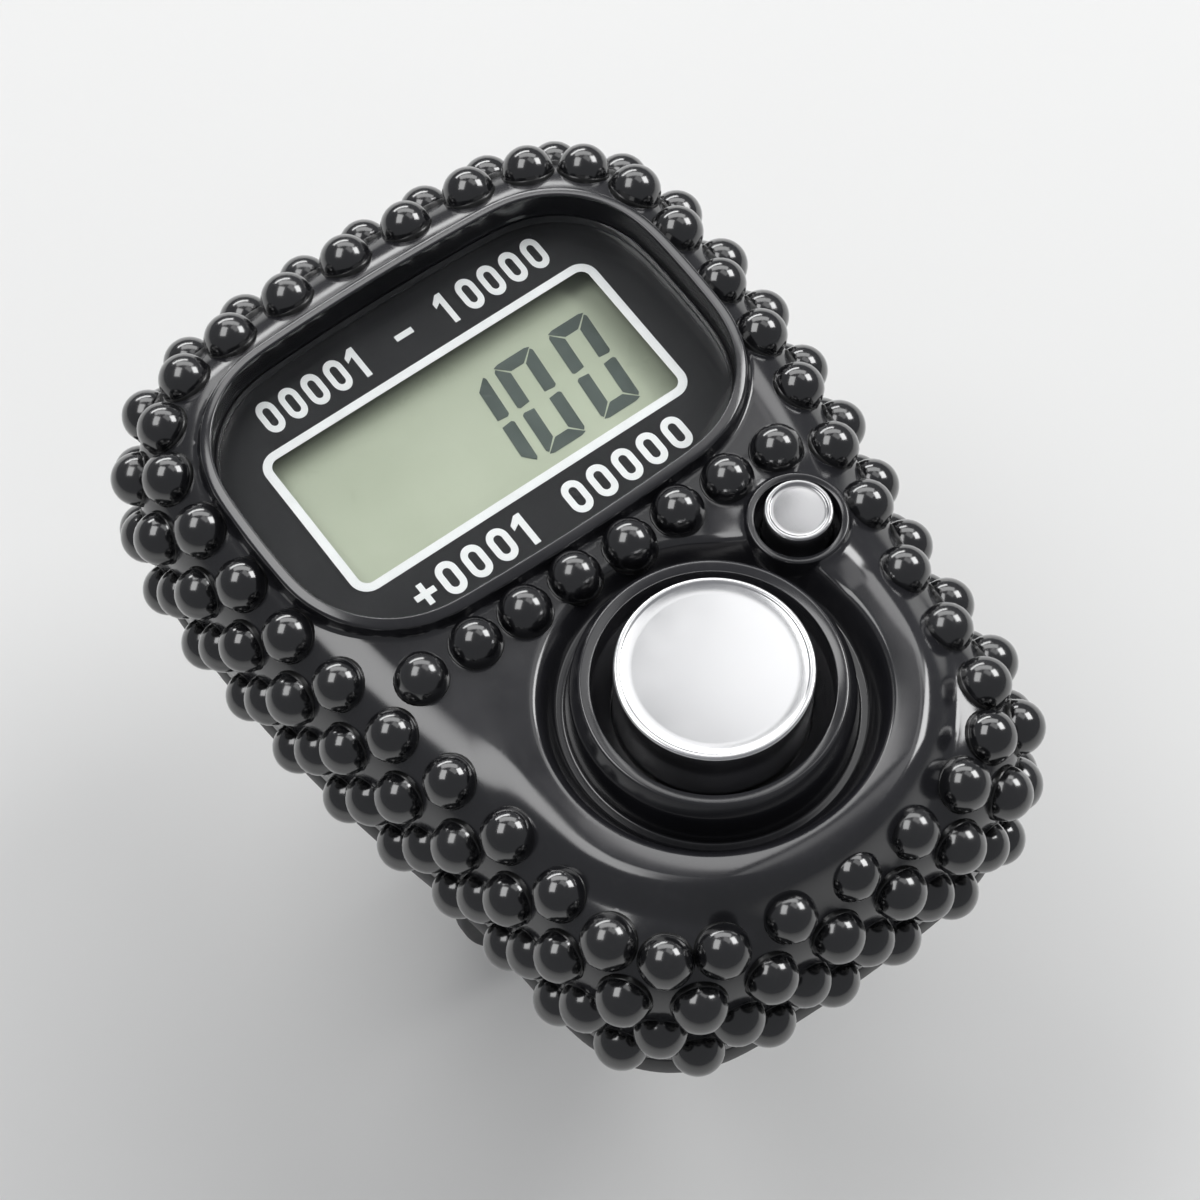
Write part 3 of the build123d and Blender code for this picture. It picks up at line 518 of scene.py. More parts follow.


# the lighter colour given to sharp edges is rub wear and painted edge sheen together
finishes = {
    "caseGloss": dict(dark=(0.010, 0.010, 0.012), light=(0.017, 0.017, 0.020), roughness=(0.13, 0.2),
                      fineScale=700, coarseScale=160, bump=0.012, specular=0.95, rub=0.12,
                      rubAndSheenColour=(0.06, 0.06, 0.066), dust=0.04),
    "beadGloss": dict(dark=(0.003, 0.003, 0.004), light=(0.007, 0.007, 0.008), roughness=(0.13, 0.2),
                      fineScale=900, coarseScale=220, bump=0.015, specular=1.0, coat=0.6,
                      coatRoughness=0.08, dust=0.03),
    "glueGloss": dict(dark=(0.006, 0.006, 0.006), light=(0.014, 0.014, 0.014), roughness=(0.2, 0.35),
                      fineScale=1500, coarseScale=500, bump=0.2),
    "maskPrint": dict(dark=(0.008, 0.008, 0.009), light=(0.012, 0.012, 0.013), roughness=(0.35, 0.5),
                      fineScale=4000, coarseScale=300, bump=0.03, specular=0.2),
    "labelWhite": dict(dark=(0.84, 0.84, 0.83), light=(0.92, 0.92, 0.91), roughness=(0.4, 0.55),
                       fineScale=4000, coarseScale=900, bump=0.03),
    "segmentInk": dict(dark=(0.05, 0.066, 0.07), light=(0.075, 0.095, 0.1), roughness=(0.4, 0.5),
                       fineScale=4000, coarseScale=600, bump=0.02),
    "reflectorFilm": dict(dark=(0.71, 0.725, 0.655), light=(0.77, 0.785, 0.72), roughness=(0.45, 0.6),
                          fineScale=9000, coarseScale=250, bump=0.05),
    "cellGlass": dict(dark=(0.55, 0.58, 0.50), light=(0.605, 0.63, 0.555), roughness=(0.25, 0.35),
                      fineScale=9000, coarseScale=180, bump=0.02, specular=0.3),
    "plateSilver": dict(dark=(0.84, 0.84, 0.845), light=(0.91, 0.91, 0.915), roughness=(0.18, 0.26),
                        fineScale=700, coarseScale=260, bump=0.004, metallic=1),
    "plateSatin": dict(dark=(0.49, 0.49, 0.495), light=(0.55, 0.55, 0.555), roughness=(0.2, 0.28),
                       fineScale=700, coarseScale=260, bump=0.004, metallic=1),
    "strapRubber": dict(dark=(0.012, 0.012, 0.013), light=(0.02, 0.02, 0.022), roughness=(0.5, 0.65),
                        fineScale=3500, coarseScale=240, bump=0.25, rub=0.3, rubAndSheenColour=(0.05, 0.05, 0.052),
                        dust=0.25),
    "framePlastic": dict(dark=(0.60, 0.60, 0.57), light=(0.68, 0.68, 0.65), roughness=(0.4, 0.55),
                         fineScale=2500, coarseScale=300, bump=0.08),
    "domeSilicone": dict(dark=(0.55, 0.55, 0.53), light=(0.64, 0.64, 0.62), roughness=(0.4, 0.55),
                         fineScale=2500, coarseScale=400, bump=0.08, subsurface=0.3),
    "pillCarbon": dict(dark=(0.012, 0.012, 0.012), light=(0.03, 0.03, 0.03), roughness=(0.6, 0.75),
                       fineScale=6000, coarseScale=900, bump=0.2),
    "boardLaminate": dict(dark=(0.008, 0.06, 0.022), light=(0.014, 0.09, 0.035), roughness=(0.3, 0.42),
                          fineScale=2500, coarseScale=300, bump=0.05, coat=0.3,
                          stripes=dict(other=(0.03, 0.16, 0.06), direction="DIAGONAL", pitch=1.1, wobble=4,
                                       share=0.45)),
    "zebraRubber": dict(dark=(0.50, 0.50, 0.48), light=(0.58, 0.58, 0.56), roughness=(0.5, 0.6),
                        fineScale=3000, coarseScale=500, bump=0.06,
                        stripes=dict(other=(0.02, 0.02, 0.02), direction="X", pitch=0.18, wobble=0,
                                     share=0.5)),
    "rearMoulding": dict(dark=(0.014, 0.014, 0.015), light=(0.022, 0.022, 0.024), roughness=(0.38, 0.5),
                         fineScale=2600, coarseScale=200, bump=0.22, bumpDepth=0.00004, rub=0.2,
                         rubAndSheenColour=(0.05, 0.05, 0.052), dust=0.05),
    "doorMoulding": dict(dark=(0.013, 0.013, 0.014), light=(0.020, 0.020, 0.022), roughness=(0.3, 0.42),
                         fineScale=1800, coarseScale=260, bump=0.12, rub=0.35,
                         rubAndSheenColour=(0.06, 0.06, 0.062)),
    "chipEpoxy": dict(dark=(0.008, 0.008, 0.008), light=(0.016, 0.015, 0.014), roughness=(0.15, 0.35),
                      fineScale=1500, coarseScale=500, bump=0.15, coat=0.3),
    "cellSteel": dict(dark=(0.60, 0.60, 0.60), light=(0.70, 0.70, 0.70), roughness=(0.25, 0.4),
                      fineScale=3000, coarseScale=300, bump=0.05, metallic=1),
    "contactSteel": dict(dark=(0.62, 0.60, 0.55), light=(0.72, 0.70, 0.65), roughness=(0.22, 0.35),
                         fineScale=4000, coarseScale=500, bump=0.05, metallic=1),
    "screwSteel": dict(dark=(0.40, 0.40, 0.41), light=(0.55, 0.55, 0.56), roughness=(0.28, 0.42),
                       fineScale=4000, coarseScale=700, bump=0.08, metallic=1, rub=0.5,
                       rubAndSheenColour=(0.75, 0.75, 0.75)),
    "lensClear": dict(dark=(0.97, 0.98, 0.98), light=(0.99, 1.0, 1.0), roughness=(0.0, 0.02),
                      fineScale=1500, coarseScale=150, ior=1.25),
    "polariserFilm": dict(dark=(0.93, 0.94, 0.90), light=(0.95, 0.96, 0.92), roughness=(0.05, 0.1),
                          fineScale=1500, coarseScale=150, ior=1.06),
}
finish = {}
for finishName, look in finishes.items():
    finish[finishName], tree, shader = newMaterial(finishName, look)
    if "ior" in look:
        # see-through sheet: refracts for the eye, lets lamp light straight through
        shader.inputs["Transmission Weight"].default_value = 1
        shader.inputs["IOR"].default_value = look["ior"]
        rays = addNode(tree, "ShaderNodeLightPath").outputs
        lampLight = mathNode(tree, "MAXIMUM", rays["Is Shadow Ray"], rays["Is Diffuse Ray"])
        letThrough(tree, lampLight, shader, look["light"])
print("finishes made:", len(finish))


# front shell

frontShell = dict(collarRise=1.6, faceThickness=1.6, wall=1.4, wallLevels=6, edgeRound=3.7,
                  outlinePoints=360, displayPoints=264, bumperCrest=8.7, bumperLift=0.3, bumperRise=1.35,
                  bumperFade=0.5, bumperReach=1.75, bumperRound=5, moatEdge=7.85, moatFloorRadius=6.65,
                  moatDepth=1.0, rimWidth=0.55, rimRise=0.8, rimTilt=13, rimRounds=(0.2, 0.1), rimFoot=0.25,
                  rimFootSteps=((0.14, 0.06), (0.04, 0.25)), rimFallOut=0.5, rimFallIn=0.3, rimLevels=4,
                  rimBack=0.8, lensGap=0.12, ledgeMargin=0.6, seamBevel=0.14)
# eases from the foot inwards: collar foot, shoulder, lip, inner lip, well, hole
collar = dict(footRadius=6.5, baseRadius=6.3, shoulderRadius=6.1, shoulderDrop=0.75, lipRadius=5.68,
              lipFall=0.09, wellRadius=5.2, wellDepth=0.7, wellEdge=0.05, holeRadius=4.35,
              eases=(0.12, 0.9, 0.16, 0.08, 0.15, 0.08), count=144)
eyelet = dict(rise=0.75, footRadius=2.5, footSteps=((2.36, 0.06), (2.28, 0.18)), lipRadius=2.25,
              lipFall=0.06, wellRadius=1.9, holeRadius=1.6, eases=(0.11, 0.06, 0.1, 0.06), padRise=0.3,
              padReach=1.7, count=72)
skinNet = dict(bumperRings=(6.62, 10.6, 0.13), bumperSides=240,
               eyeletRings=(2.6, 2.75, 3.0, 3.3, 3.6, 3.9, 4.2), eyeletSides=80, edgeAngles=(84, -1, -6),
               rimRings=(0.12, 0.3, 0.55, 0.9), grid=0.4, spacing=0.1, slopeStep=0.002)
windowSizes = dict(sideMargin=1.1, endMargin=1.75, cornerRadius=0.7, cornerSteps=12)

frontLow, frontHigh = boxOf("front_case")
lensLow, lensHigh = boxOf("display_lens")
maskLow, maskHigh = boxOf("display_mask")
polariserLow, polariserHigh = boxOf("lcd_polariser")
faceZ = frontHigh.z - frontShell["collarRise"]
ceilingZ = faceZ - frontShell["faceThickness"]
ledgeZ = maskLow.z
displayCentre = middleOf(lensLow, lensHigh)
countCentre = middleOf(*boxOf("count_button"))
resetCentre = middleOf(*boxOf("reset_button"))
caseLoop = evenLoop(outlineOf("front_case", frontLow.z), frontShell["outlinePoints"])
lensLoop = evenLoop(outlineOf("display_lens", lensLow.z), frontShell["displayPoints"])
displayLoop = grown(lensLoop, frontShell["lensGap"])


def smoothMax(a, b, ease):
    near = np.maximum(ease - np.abs(a - b), 0) / ease
    return np.maximum(a, b) + near * near * ease / 4


def skinHeight(points):
    # height of the moulded front: round edge, leaning bumper ring, and the moat inside it
    s = frontShell
    edge, crest = s["edgeRound"], s["bumperCrest"]
    inset = np.minimum(distanceTo(points, caseLoop), edge)
    height = faceZ - edge + np.sqrt(np.maximum(edge ** 2 - (edge - inset) ** 2, 0))
    away = np.hypot(points[:, 0] - resetCentre[0], points[:, 1] - resetCentre[1])
    padShare = np.clip((away - eyelet["footRadius"]) / eyelet["padReach"], 0, 1)
    height = height + eyelet["padRise"] * (1 - padShare) ** 2
    away = np.hypot(points[:, 0] - countCentre[0], points[:, 1] - countCentre[1])
    lean = (s["bumperRise"] - s["bumperLift"]) / crest
    rise = smoothMax(s["bumperLift"] - (points[:, 1] - countCentre[1]) * lean, 0, s["bumperFade"])
    outShare = np.clip((away - crest) / s["bumperReach"], 0, 1)
    shoulder = np.maximum(crest - away, 0) ** 2 / (2 * s["bumperRound"])
    height = height + rise * ((1 - outShare ** 2) ** 2 - shoulder / s["bumperRise"])
    inShare = np.clip((s["moatEdge"] - away) / (s["moatEdge"] - s["moatFloorRadius"]), 0, 1)
    dip = inShare ** 3 * (4 - 3 * inShare)
    return height + (faceZ - s["moatDepth"] - height) * dip


def windowOpening(margin, count):
    # opening behind the lens in as many points as the display outline has, at matching angles
    w = windowSizes
    width = polariserHigh.x - polariserLow.x - 2 * w["sideMargin"] + 2 * margin
    height = polariserHigh.y - polariserLow.y - 2 * w["endMargin"] + 2 * margin
    loop = roundedBox(displayCentre, width, height, w["cornerRadius"], w["cornerSteps"])
    return evenLoop(loop, count, easing=0)


def makeFrontShell():
    s, n = frontShell, skinNet
    edge, moatZ = s["edgeRound"], faceZ - s["moatDepth"]
    rimFoot = grown(displayLoop, s["rimWidth"] + s["rimFoot"])
    collarFoot = circleLoop(countCentre, collar["footRadius"], collar["count"])
    eyeletFoot = circleLoop(resetCentre, eyelet["footRadius"], eyelet["count"])
    extra = [circleLoop(countCentre, r, n["bumperSides"]) for r in np.arange(*n["bumperRings"])]
    extra += [circleLoop(resetCentre, r, n["eyeletSides"]) for r in n["eyeletRings"]]
    extra += [grown(caseLoop, -edge * (1 - math.sin(a))) for a in np.radians(np.arange(*n["edgeAngles"]))]
    extra += [grown(rimFoot, away) for away in n["rimRings"]]
    extra.append(gridPoints(np.arange(frontLow.x, frontHigh.x, n["grid"]),
                            np.arange(frontLow.y, frontHigh.y, n["grid"])))
    net = Net()
    loops = [caseLoop, rimFoot, collarFoot, eyeletFoot]
    flat, rings = net.sheet(loops, skinHeight, np.vstack(extra), n["spacing"])
    step = n["slopeStep"]
    slopeX, slopeY = [(skinHeight(flat + way) - skinHeight(flat - way)) / (2 * step)
                      for way in np.array(((step, 0), (0, step)))]
    normals = np.column_stack([-slopeX, -slopeY, np.ones(len(flat))])
    normals /= np.linalg.norm(normals, axis=1)[:, None]

    # outer wall down to the seam, then back up inside it
    levels = np.linspace(faceZ - edge, frontLow.z + s["seamBevel"], s["wallLevels"])[1:]
    path = [(0, z) for z in levels]
    path += [(-s["seamBevel"], frontLow.z), (-s["wall"], frontLow.z), (-s["wall"], ceilingZ)]
    inside = [net.skirt(rings[0], offsets(caseLoop, path))]

    # display rim, lens seat and window
    rimTop, width, ledgeLow = faceZ + s["rimRise"], s["rimWidth"], polariserHigh.z
    footZ = net.heights(rings[1])
    path = [(width + out, footZ + (rimTop - footZ) * share) for out, share in s["rimFootSteps"]]
    lipLow, wallTop = rimTop - width * math.tan(math.radians(s["rimTilt"])), rimTop - s["rimFallIn"]
    lip = [(width, rimTop - s["rimFallOut"]), (width, lipLow), (0, rimTop), (0, wallTop)]
    path += cornersRounded(lip, s["rimRounds"])[1:-1]
    path += [(0, z) for z in np.linspace(wallTop, ledgeZ, s["rimLevels"])]
    windowLoop = windowOpening(s["ledgeMargin"], len(displayLoop))
    steps = offsets(displayLoop, path) + [(windowLoop, ledgeZ), (windowLoop, ledgeLow)]
    steps += offsets(displayLoop, [(s["rimBack"], ledgeLow), (s["rimBack"], ceilingZ)])
    inside.append(net.skirt(rings[1], steps))

    # collar round the count button, then eyelet round the reset button
    c, lipZ, wellZ = collar, frontHigh.z, faceZ - collar["wellDepth"]
    path = [(c["footRadius"], moatZ), (c["baseRadius"], moatZ),
            (c["shoulderRadius"], lipZ - c["shoulderDrop"]),
            (c["lipRadius"], lipZ), (c["wellRadius"], lipZ - c["lipFall"]),
            (c["wellRadius"], faceZ - c["wellEdge"]), (c["holeRadius"], wellZ), (c["holeRadius"], ceilingZ)]
    path = cornersRounded(path, c["eases"])[1:]
    inside.append(net.skirt(rings[2], circles(countCentre, c["count"], path)))
    e, lipZ, footZ = eyelet, faceZ + eyelet["rise"], net.heights(rings[3])
    path = [(e["lipRadius"], faceZ), (e["lipRadius"], lipZ), (e["wellRadius"], lipZ - e["lipFall"]),
            (e["wellRadius"], faceZ - c["wellDepth"] / 2), (e["holeRadius"], wellZ),
            (e["holeRadius"], ceilingZ)]
    path = [(r, footZ + up) for r, up in e["footSteps"]] + cornersRounded(path, e["eases"])[1:]
    inside.append(net.skirt(rings[3], circles(resetCentre, e["count"], path)))

    # the ceiling of the hollow closes the moulding, and the skin shades by its own slope
    net.close(inside)
    edges = {i for ring in rings for i in ring}
    shading = [(0, 0, 0)] * len(net.points)
    for i, normal in enumerate(normals):
        if i not in edges:
            shading[i] = tuple(normal)
    makePiece("front_shell", (net.points, net.faces, shading), "caseGloss", stands=("front_case",),
              sharp=60)


makeFrontShell()
print("front shell made")


# beads

# foot in shares of radius and sink, glue outwards from the radius
bead = dict(radius=1.24, seat=0.05, sink=0.3, sides=28, rings=9, perRow=36, acrossCount=8, rimTilt=38,
            sideTilt=73, smallest=0.95, shift=0.09, leastShift=0.25, seed=11,
            foot=((0.97, 0.6), (0.9, 1), (0, 1)),
            glue=((-0.1, 0.05), (0, -0.02), (0.04, -0.1), (0.05, -0.32), (-0.1, -0.32), (-0.1, 0.05)))


def beadTemplates():
    r = bead["radius"]
    path = [(r * math.sin(a), r * math.cos(a)) for a in np.linspace(0, math.pi / 2, bead["rings"])]
    path += [(r * share, -bead["sink"] * depth) for share, depth in bead["foot"]]
    glue = [(r + out, z) for out, z in bead["glue"]]
    return turned(path, (0, 0), bead["sides"]), turned(glue, (0, 0), bead["sides"])


def rowPlaces(tilt, height, inset, stagger):
    per = len(caseLoop) // bead["perRow"]
    out = outwardOf(caseLoop)
    tiltAngle = math.radians(tilt)
    places = []
    for i in range(bead["perRow"]):
        k = int((i + stagger) * per) % len(caseLoop)
        lean = Vector((*(out[k] * math.sin(tiltAngle)), math.cos(tiltAngle)))
        foot = Vector((*(caseLoop[k] - out[k] * inset), height))
        places.append((foot + lean * bead["seat"], lean))
    return places


def makeBeads():
    r = frontShell["edgeRound"]
    rows = {}
    for node, tilt, stagger in (("beads_face_rim", bead["rimTilt"], 0),
                                ("beads_upper_side", bead["sideTilt"], 0.5)):
        a = math.radians(tilt)
        rows[node] = rowPlaces(tilt, faceZ - r * (1 - math.cos(a)), r * (1 - math.sin(a)), stagger)
    for node, stagger in (("beads_middle_side", 0), ("beads_lower_side", 0.5)):
        low, high = boxOf(node)
        rows[node] = rowPlaces(90, (low.z + high.z) / 2, 0, stagger)
    low, high = boxOf("beads_cross_row")
    half, y = (high.y - low.y) / 2, middleOf(low, high)[1]
    xs = np.linspace(low.x + half, high.x - half, bead["acrossCount"])
    rows["beads_cross_row"] = [(Vector((x, y, low.z)), Vector((0, 0, 1))) for x in xs]
    ball, glue = beadTemplates()
    chance = np.random.default_rng(bead["seed"])
    glueParts = []
    for node, places in rows.items():
        # set by hand: a little uneven in size and place
        uneven = []
        for foot, out in places:
            shift = chance.uniform(-bead["shift"], bead["shift"], 2)
            aside = Vector((*shift, 0)) * max(out.z, bead["leastShift"])
            uneven.append((foot + aside - out * max(aside.dot(out), 0), out,
                           chance.uniform(bead["smallest"], 1)))
        part = joined([standing(ball, *place) for place in uneven])
        makePiece(node.replace("beads", "pearls"), part, "beadGloss", stands=(node,))
        glueParts += [standing(glue, *place) for place in uneven]
    makePiece("bead_glue", joined(glueParts), "glueGloss")
    print("beads made:", sum(len(places) for places in rows.values()))


makeBeads()


# display: lens, printed mask, glass and figures

display = dict(lensBevel=0.06, lensLift=0.04, gasketDrop=0.22, gasketEase=0.012, printLift=0.006,
               printThickness=0.012, printBevel=0.004, frameWidth=18.1, frameHeight=8.35, frameLine=0.42,
               frameCorner=0.9, glassBevel=0.08, glassCorner=0.3, filmInset=0.2, filmCorner=0.2,
               filmBevel=0.03, gap=0.02)
figures = dict(width=2.12, height=5.2, stroke=0.64, gap=0.07, slant=0.1, base=-2.75, thickness=0.012,
               middle=0.2, endSlope=0.25, endLip=0.08, sideLip=0.3, sideCut=0.1, notch=0.12,
               notchShares=(0.7, 1.2), lit={"0": "abcdef", "1": "bc"},
               places=(("1", -0.32), ("0", 2.27), ("0", 5.3)))
# one: strokes left of the stem and share of the height
signs = dict(stroke=0.2, width=0.66, gap=0.2, barShare=0.45, ringEase=0.01, holeEase=0.001, stem=0.62,
             one=((0, 0), (0, 1), (0.9, 1), (2.1, 0.8), (2.1, 0.62), (1, 0.74), (1, 0)))
labels = (("00001 - 10000", 0.05, 5.7, 15.4, 1.75), ("+0001", -3.95, -5.6, 6.5, 1.75),
          ("00000", 4.2, -5.6, 6.5, 1.75))
glassTop = boxOf("lcd_front_glass")[1].z


def makeLens():
    outer = grown(displayLoop, -frontShell["lensGap"])
    part = plate(outer, [], lensLow.z + display["lensLift"], lensHigh.z, display["lensBevel"])
    makePiece("lens_window", part, "lensClear", stands=("display_lens",), sharp=70)


def makeGasket():
    # black tape edge that fills the gap between the lens and its rim
    ease, top = display["gasketEase"], lensHigh.z - display["gasketDrop"]
    inner = grown(displayLoop, ease - frontShell["lensGap"])
    part = plate(grown(displayLoop, -ease), [inner], ledgeZ + ease, top, ease, steps=2, spacing=0.05)
    makePiece("lens_gasket", part, "maskPrint", sharp=50)


def makeGlass():
    d = display
    wide, tall = polariserHigh.x - polariserLow.x, polariserHigh.y - polariserLow.y
    sheet = roundedBox(displayCentre, wide, tall, d["glassCorner"], 3)
    low = boxOf("lcd_rear_glass")[0].z + d["gap"]
    makePiece("lcd_cell", plate(sheet, [], low, glassTop, d["glassBevel"], steps=2), "cellGlass",
              stands=("lcd_front_glass", "lcd_rear_glass"))
    sheet = roundedBox(displayCentre, wide - d["filmInset"], tall - d["filmInset"], d["filmCorner"], 3)
    low = polariserLow.z + 2 * d["gap"]
    makePiece("polariser_sheet", plate(sheet, [], low, polariserHigh.z, d["filmBevel"], steps=2),
              "polariserFilm", stands=("lcd_polariser",))


def digitSegments(figure):
    # lit segments of one figure: the top one and the upper left one, mirrored to the others
    f = figures
    w, h, t, g = f["width"], f["height"], f["stroke"], f["gap"]
    lip, slope, cut, middle = f["endLip"], f["endSlope"], f["sideCut"], f["height"] / 2
    inner, outer = [middle + f["middle"] * share for share in f["notchShares"]]
    segments = {
        "a": [(g, h - lip), (g + slope, h), (w - g - slope, h), (w - g, h - lip), (w - t - g, h - t),
              (t + g, h - t)],
        "f": [(0, h - f["sideLip"]), (cut, h - cut - g), (t, h - t - g), (t, middle + f["middle"]),
              (f["notch"], inner), (0, outer)],
    }
    segments["d"] = [(x, h - y) for x, y in segments["a"]]
    segments["e"] = [(x, h - y) for x, y in segments["f"]]
    segments["b"] = [(w - x, y) for x, y in segments["f"]]
    segments["c"] = [(w - x, y) for x, y in segments["e"]]
    return [segments[name] for name in f["lit"][figure]]


def makeFigures():
    f = figures
    z = glassTop + display["printLift"]
    parts = []
    for figure, left in f["places"]:
        for outline in digitSegments(figure):
            slanted = [(displayCentre[0] + left + x + (y - f["height"] / 2) * f["slant"],
                        displayCentre[1] + f["base"] + y) for x, y in outline]
            parts.append(prism(slanted, z, z + f["thickness"]))
    makePiece("lcd_figures", joined(parts), "segmentInk", sharp=20)


def signShape(sign):
    # outline and hole of one printed sign, one unit high
    w, t = signs["width"], signs["stroke"]
    middle, half = (w / 2, 0.5), t * signs["barShare"]
    if sign == "0":
        hole = roundedBox(middle, w - 2 * t, 1 - 2 * t, w / 2 - t - signs["holeEase"])
        return roundedBox(middle, w, 1, w / 2 - signs["ringEase"]), [hole]
    if sign == "1":
        return np.array([(w * signs["stem"] - t * left, y) for left, y in signs["one"]]), []
    if sign == "-":
        return np.array([(0, 0.5 - half), (w, 0.5 - half), (w, 0.5 + half), (0, 0.5 + half)]), []
    return crossLoop(middle, w / 2, half), []


def printed(outer, holes, low, spacing):
    return plate(outer, holes, low, low + display["printThickness"], display["printBevel"], steps=1,
                 spacing=spacing)


def labelParts(words, x, y, width, height, z):
    step = signs["width"] + signs["gap"]
    scale = np.array((width / (step * len(words) - signs["gap"]), height))
    corner = np.array((displayCentre[0] + x - width / 2, displayCentre[1] + y - height / 2))
    parts = []
    for place, sign in enumerate(words):
        if sign != " ":
            outline, holes = signShape(sign)
            loops = [(loop + (place * step, 0)) * scale + corner for loop in [outline] + holes]
            parts.append(printed(loops[0], loops[1:], z, 0.02))
    return parts


def makePrint():
    d = display
    low, line = maskHigh.z + d["printLift"], d["frameLine"]
    outer, inner = [roundedBox(displayCentre, d["frameWidth"] - 2 * inset, d["frameHeight"] - 2 * inset,
                               d["frameCorner"] - inset, 8) for inset in (0, line)]
    parts = [printed(outer, [inner], low, 0.05)]
    for label in labels:
        parts += labelParts(*label, low)
    makePiece("display_print", joined(parts), "labelWhite", sharp=30)


makeLens()
makeGasket()
makeGlass()
makeFigures()
makePrint()
print("display made")


# buttons and their domes

# groove: inwards from the top ring, share of its drop
button = dict(stemShare=0.52, flangeWidth=0.7, flangeThickness=0.8, flangeGap=0.1, ease=0.08, easeSteps=6,
              ringDrop=0.07, groove=((0.03, 0.2), (0.07, 0.8)), grooveWidth=0.1, crown=0.05, crownRings=9,
              sides=128)
dome = dict(flange=1.0, spread=1.3, base=0.5, roof=0.4, wall=0.45, eases=(0.2, 0.2, 0.15, 0, 0, 0.1),
            easeSteps=4, sides=72)


def makeButton(name, node, plating, centre, radius, edge, ring):
    b = button
    low, high = boxOf(node)
    flangeTop = ceilingZ - b["flangeGap"]
    flangeLow = flangeTop - b["flangeThickness"]
    stem, wide, top = radius * b["stemShare"], radius + b["flangeWidth"], radius - ring
    path = [(0, low.z), (stem, low.z), (stem, flangeLow), (wide, flangeLow), (wide, flangeTop),
            (radius, flangeTop), (radius, high.z), (top, high.z)]
    path = cornersRounded(path, [b["ease"]] * 5 + [edge], b["easeSteps"])
    path += [(top - inwards, high.z - b["ringDrop"] * share) for inwards, share in b["groove"]]
    reach, floor = top - b["grooveWidth"], high.z - b["ringDrop"]
    path += [(reach * t, floor + b["crown"] * (1 - t * t)) for t in np.linspace(1, 0, b["crownRings"])]
    makePiece(name, turned(path, centre, b["sides"]), plating, body=node, stands=(node,))


def makeDome(name, node, centre):
    low, high = boxOf(node)
    foot, base, roof, wall = (high.x - low.x) / 2, low.z + dome["base"], high.z - dome["roof"], dome["wall"]
    cone = foot - dome["flange"]
    plunger = cone - dome["spread"]
    path = [(0, high.z), (plunger, high.z), (cone, base), (foot, base), (foot, low.z), (cone - wall, low.z),
            (plunger - wall / 2, roof), (0, roof)]
    path = cornersRounded(path, dome["eases"], dome["easeSteps"])
    piece = makePiece(name, turned(path, centre, dome["sides"]), "domeSilicone", stands=(node,))
    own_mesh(piece)


makeButton("count_cap", "count_button", "plateSilver", countCentre, radius=4.25, edge=0.13, ring=0.22)
makeButton("reset_cap", "reset_button", "plateSatin", resetCentre, radius=1.5, edge=0.1, ring=0.18)
makeDome("count_spring", "count_dome", countCentre)
makeDome("reset_spring", "reset_dome", resetCentre)
print("buttons made")


# finger strap in two halves, each cut flat and then bent round the finger

strap = dict(width=8.4, thickness=1.4, anchorX=9.0, rootZ=10.6, exitZ=8.6, edgeEase=0.28, easeSteps=4,
             tailRadius=2.6, borderWidth=0.75, borderSlope=0.3, borderRings=(0.45, 0.6), fieldDrop=0.14,
             stepAlong=0.35, gridReach=4, gridRows=17, spacing=0.13, innerReach=9.7, innerSweep=158,
             outerReach=11.25, outerSweep=112, anchorWidth=2.2, anchorTop=14.15, anchorCorner=0.3,
             anchorEase=0.2, anchorSteps=4, bendSteps=60, loopSteps=200, tailSteps=12, tailPoints=6,
             rootPoints=24, gridStart=0.3)
# head and root: radius, and height from the outer and the inner half
peg = dict(angle=-64, holeRadius=1.02, holePitch=3.4, holesEachSide=2, holeBorder=0.5,
           holeRings=(0.36, 0.5, 0.65, 0.8), holeSides=40, ringSides=44, sides=36,
           head=((0, 0.82), (0.45, 0.79), (0.85, 0.68), (1.15, 0.5), (1.31, 0.3), (1.33, 0.2), (1.25, 0.13),
                 (0.95, 0.12), (0.88, 0)),
           root=((0.88, 0.3), (1.0, 0.08), (1.3, -0.06), (1.3, -0.4), (0, -0.4)))


def strapLine(reach, sweep):
    # middle line seen along the finger: straight out of its slot, two easing arcs, then the loop
    x, out, fall = strap["anchorX"], (reach - strap["anchorX"]) / 2, strap["exitZ"] / 2
    radius = (out * out + fall * fall) / (2 * out)
    bends = np.linspace(0, math.asin(fall / radius), strap["bendSteps"])
    line = [(x, strap["rootZ"])]
    line += [(x + radius * (1 - math.cos(b)), strap["exitZ"] - radius * math.sin(b)) for b in bends]
    line += [(reach - radius * (1 - math.cos(b)), radius * math.sin(b)) for b in bends[-2::-1]]
    turns = np.radians(np.linspace(0, sweep, strap["loopSteps"]))
    line += [(reach * math.cos(t), -reach * math.sin(t)) for t in turns[1:]]
    line = np.array(line)
    return line, lengthsAlong(line)


def bent(points, line, along, side):
    # flat points (along, across, height) carried onto the line, height outwards
    place = pickedAlong(points[:, 0], along, line)
    way = pickedAlong(points[:, 0], along, np.gradient(line, along, axis=0))
    way /= np.linalg.norm(way, axis=1)[:, None]
    placed = place + np.column_stack([-way[:, 1], way[:, 0]]) * points[:, 2:3]
    return [(side * x, y, z) for (x, z), y in zip(placed, points[:, 1])]


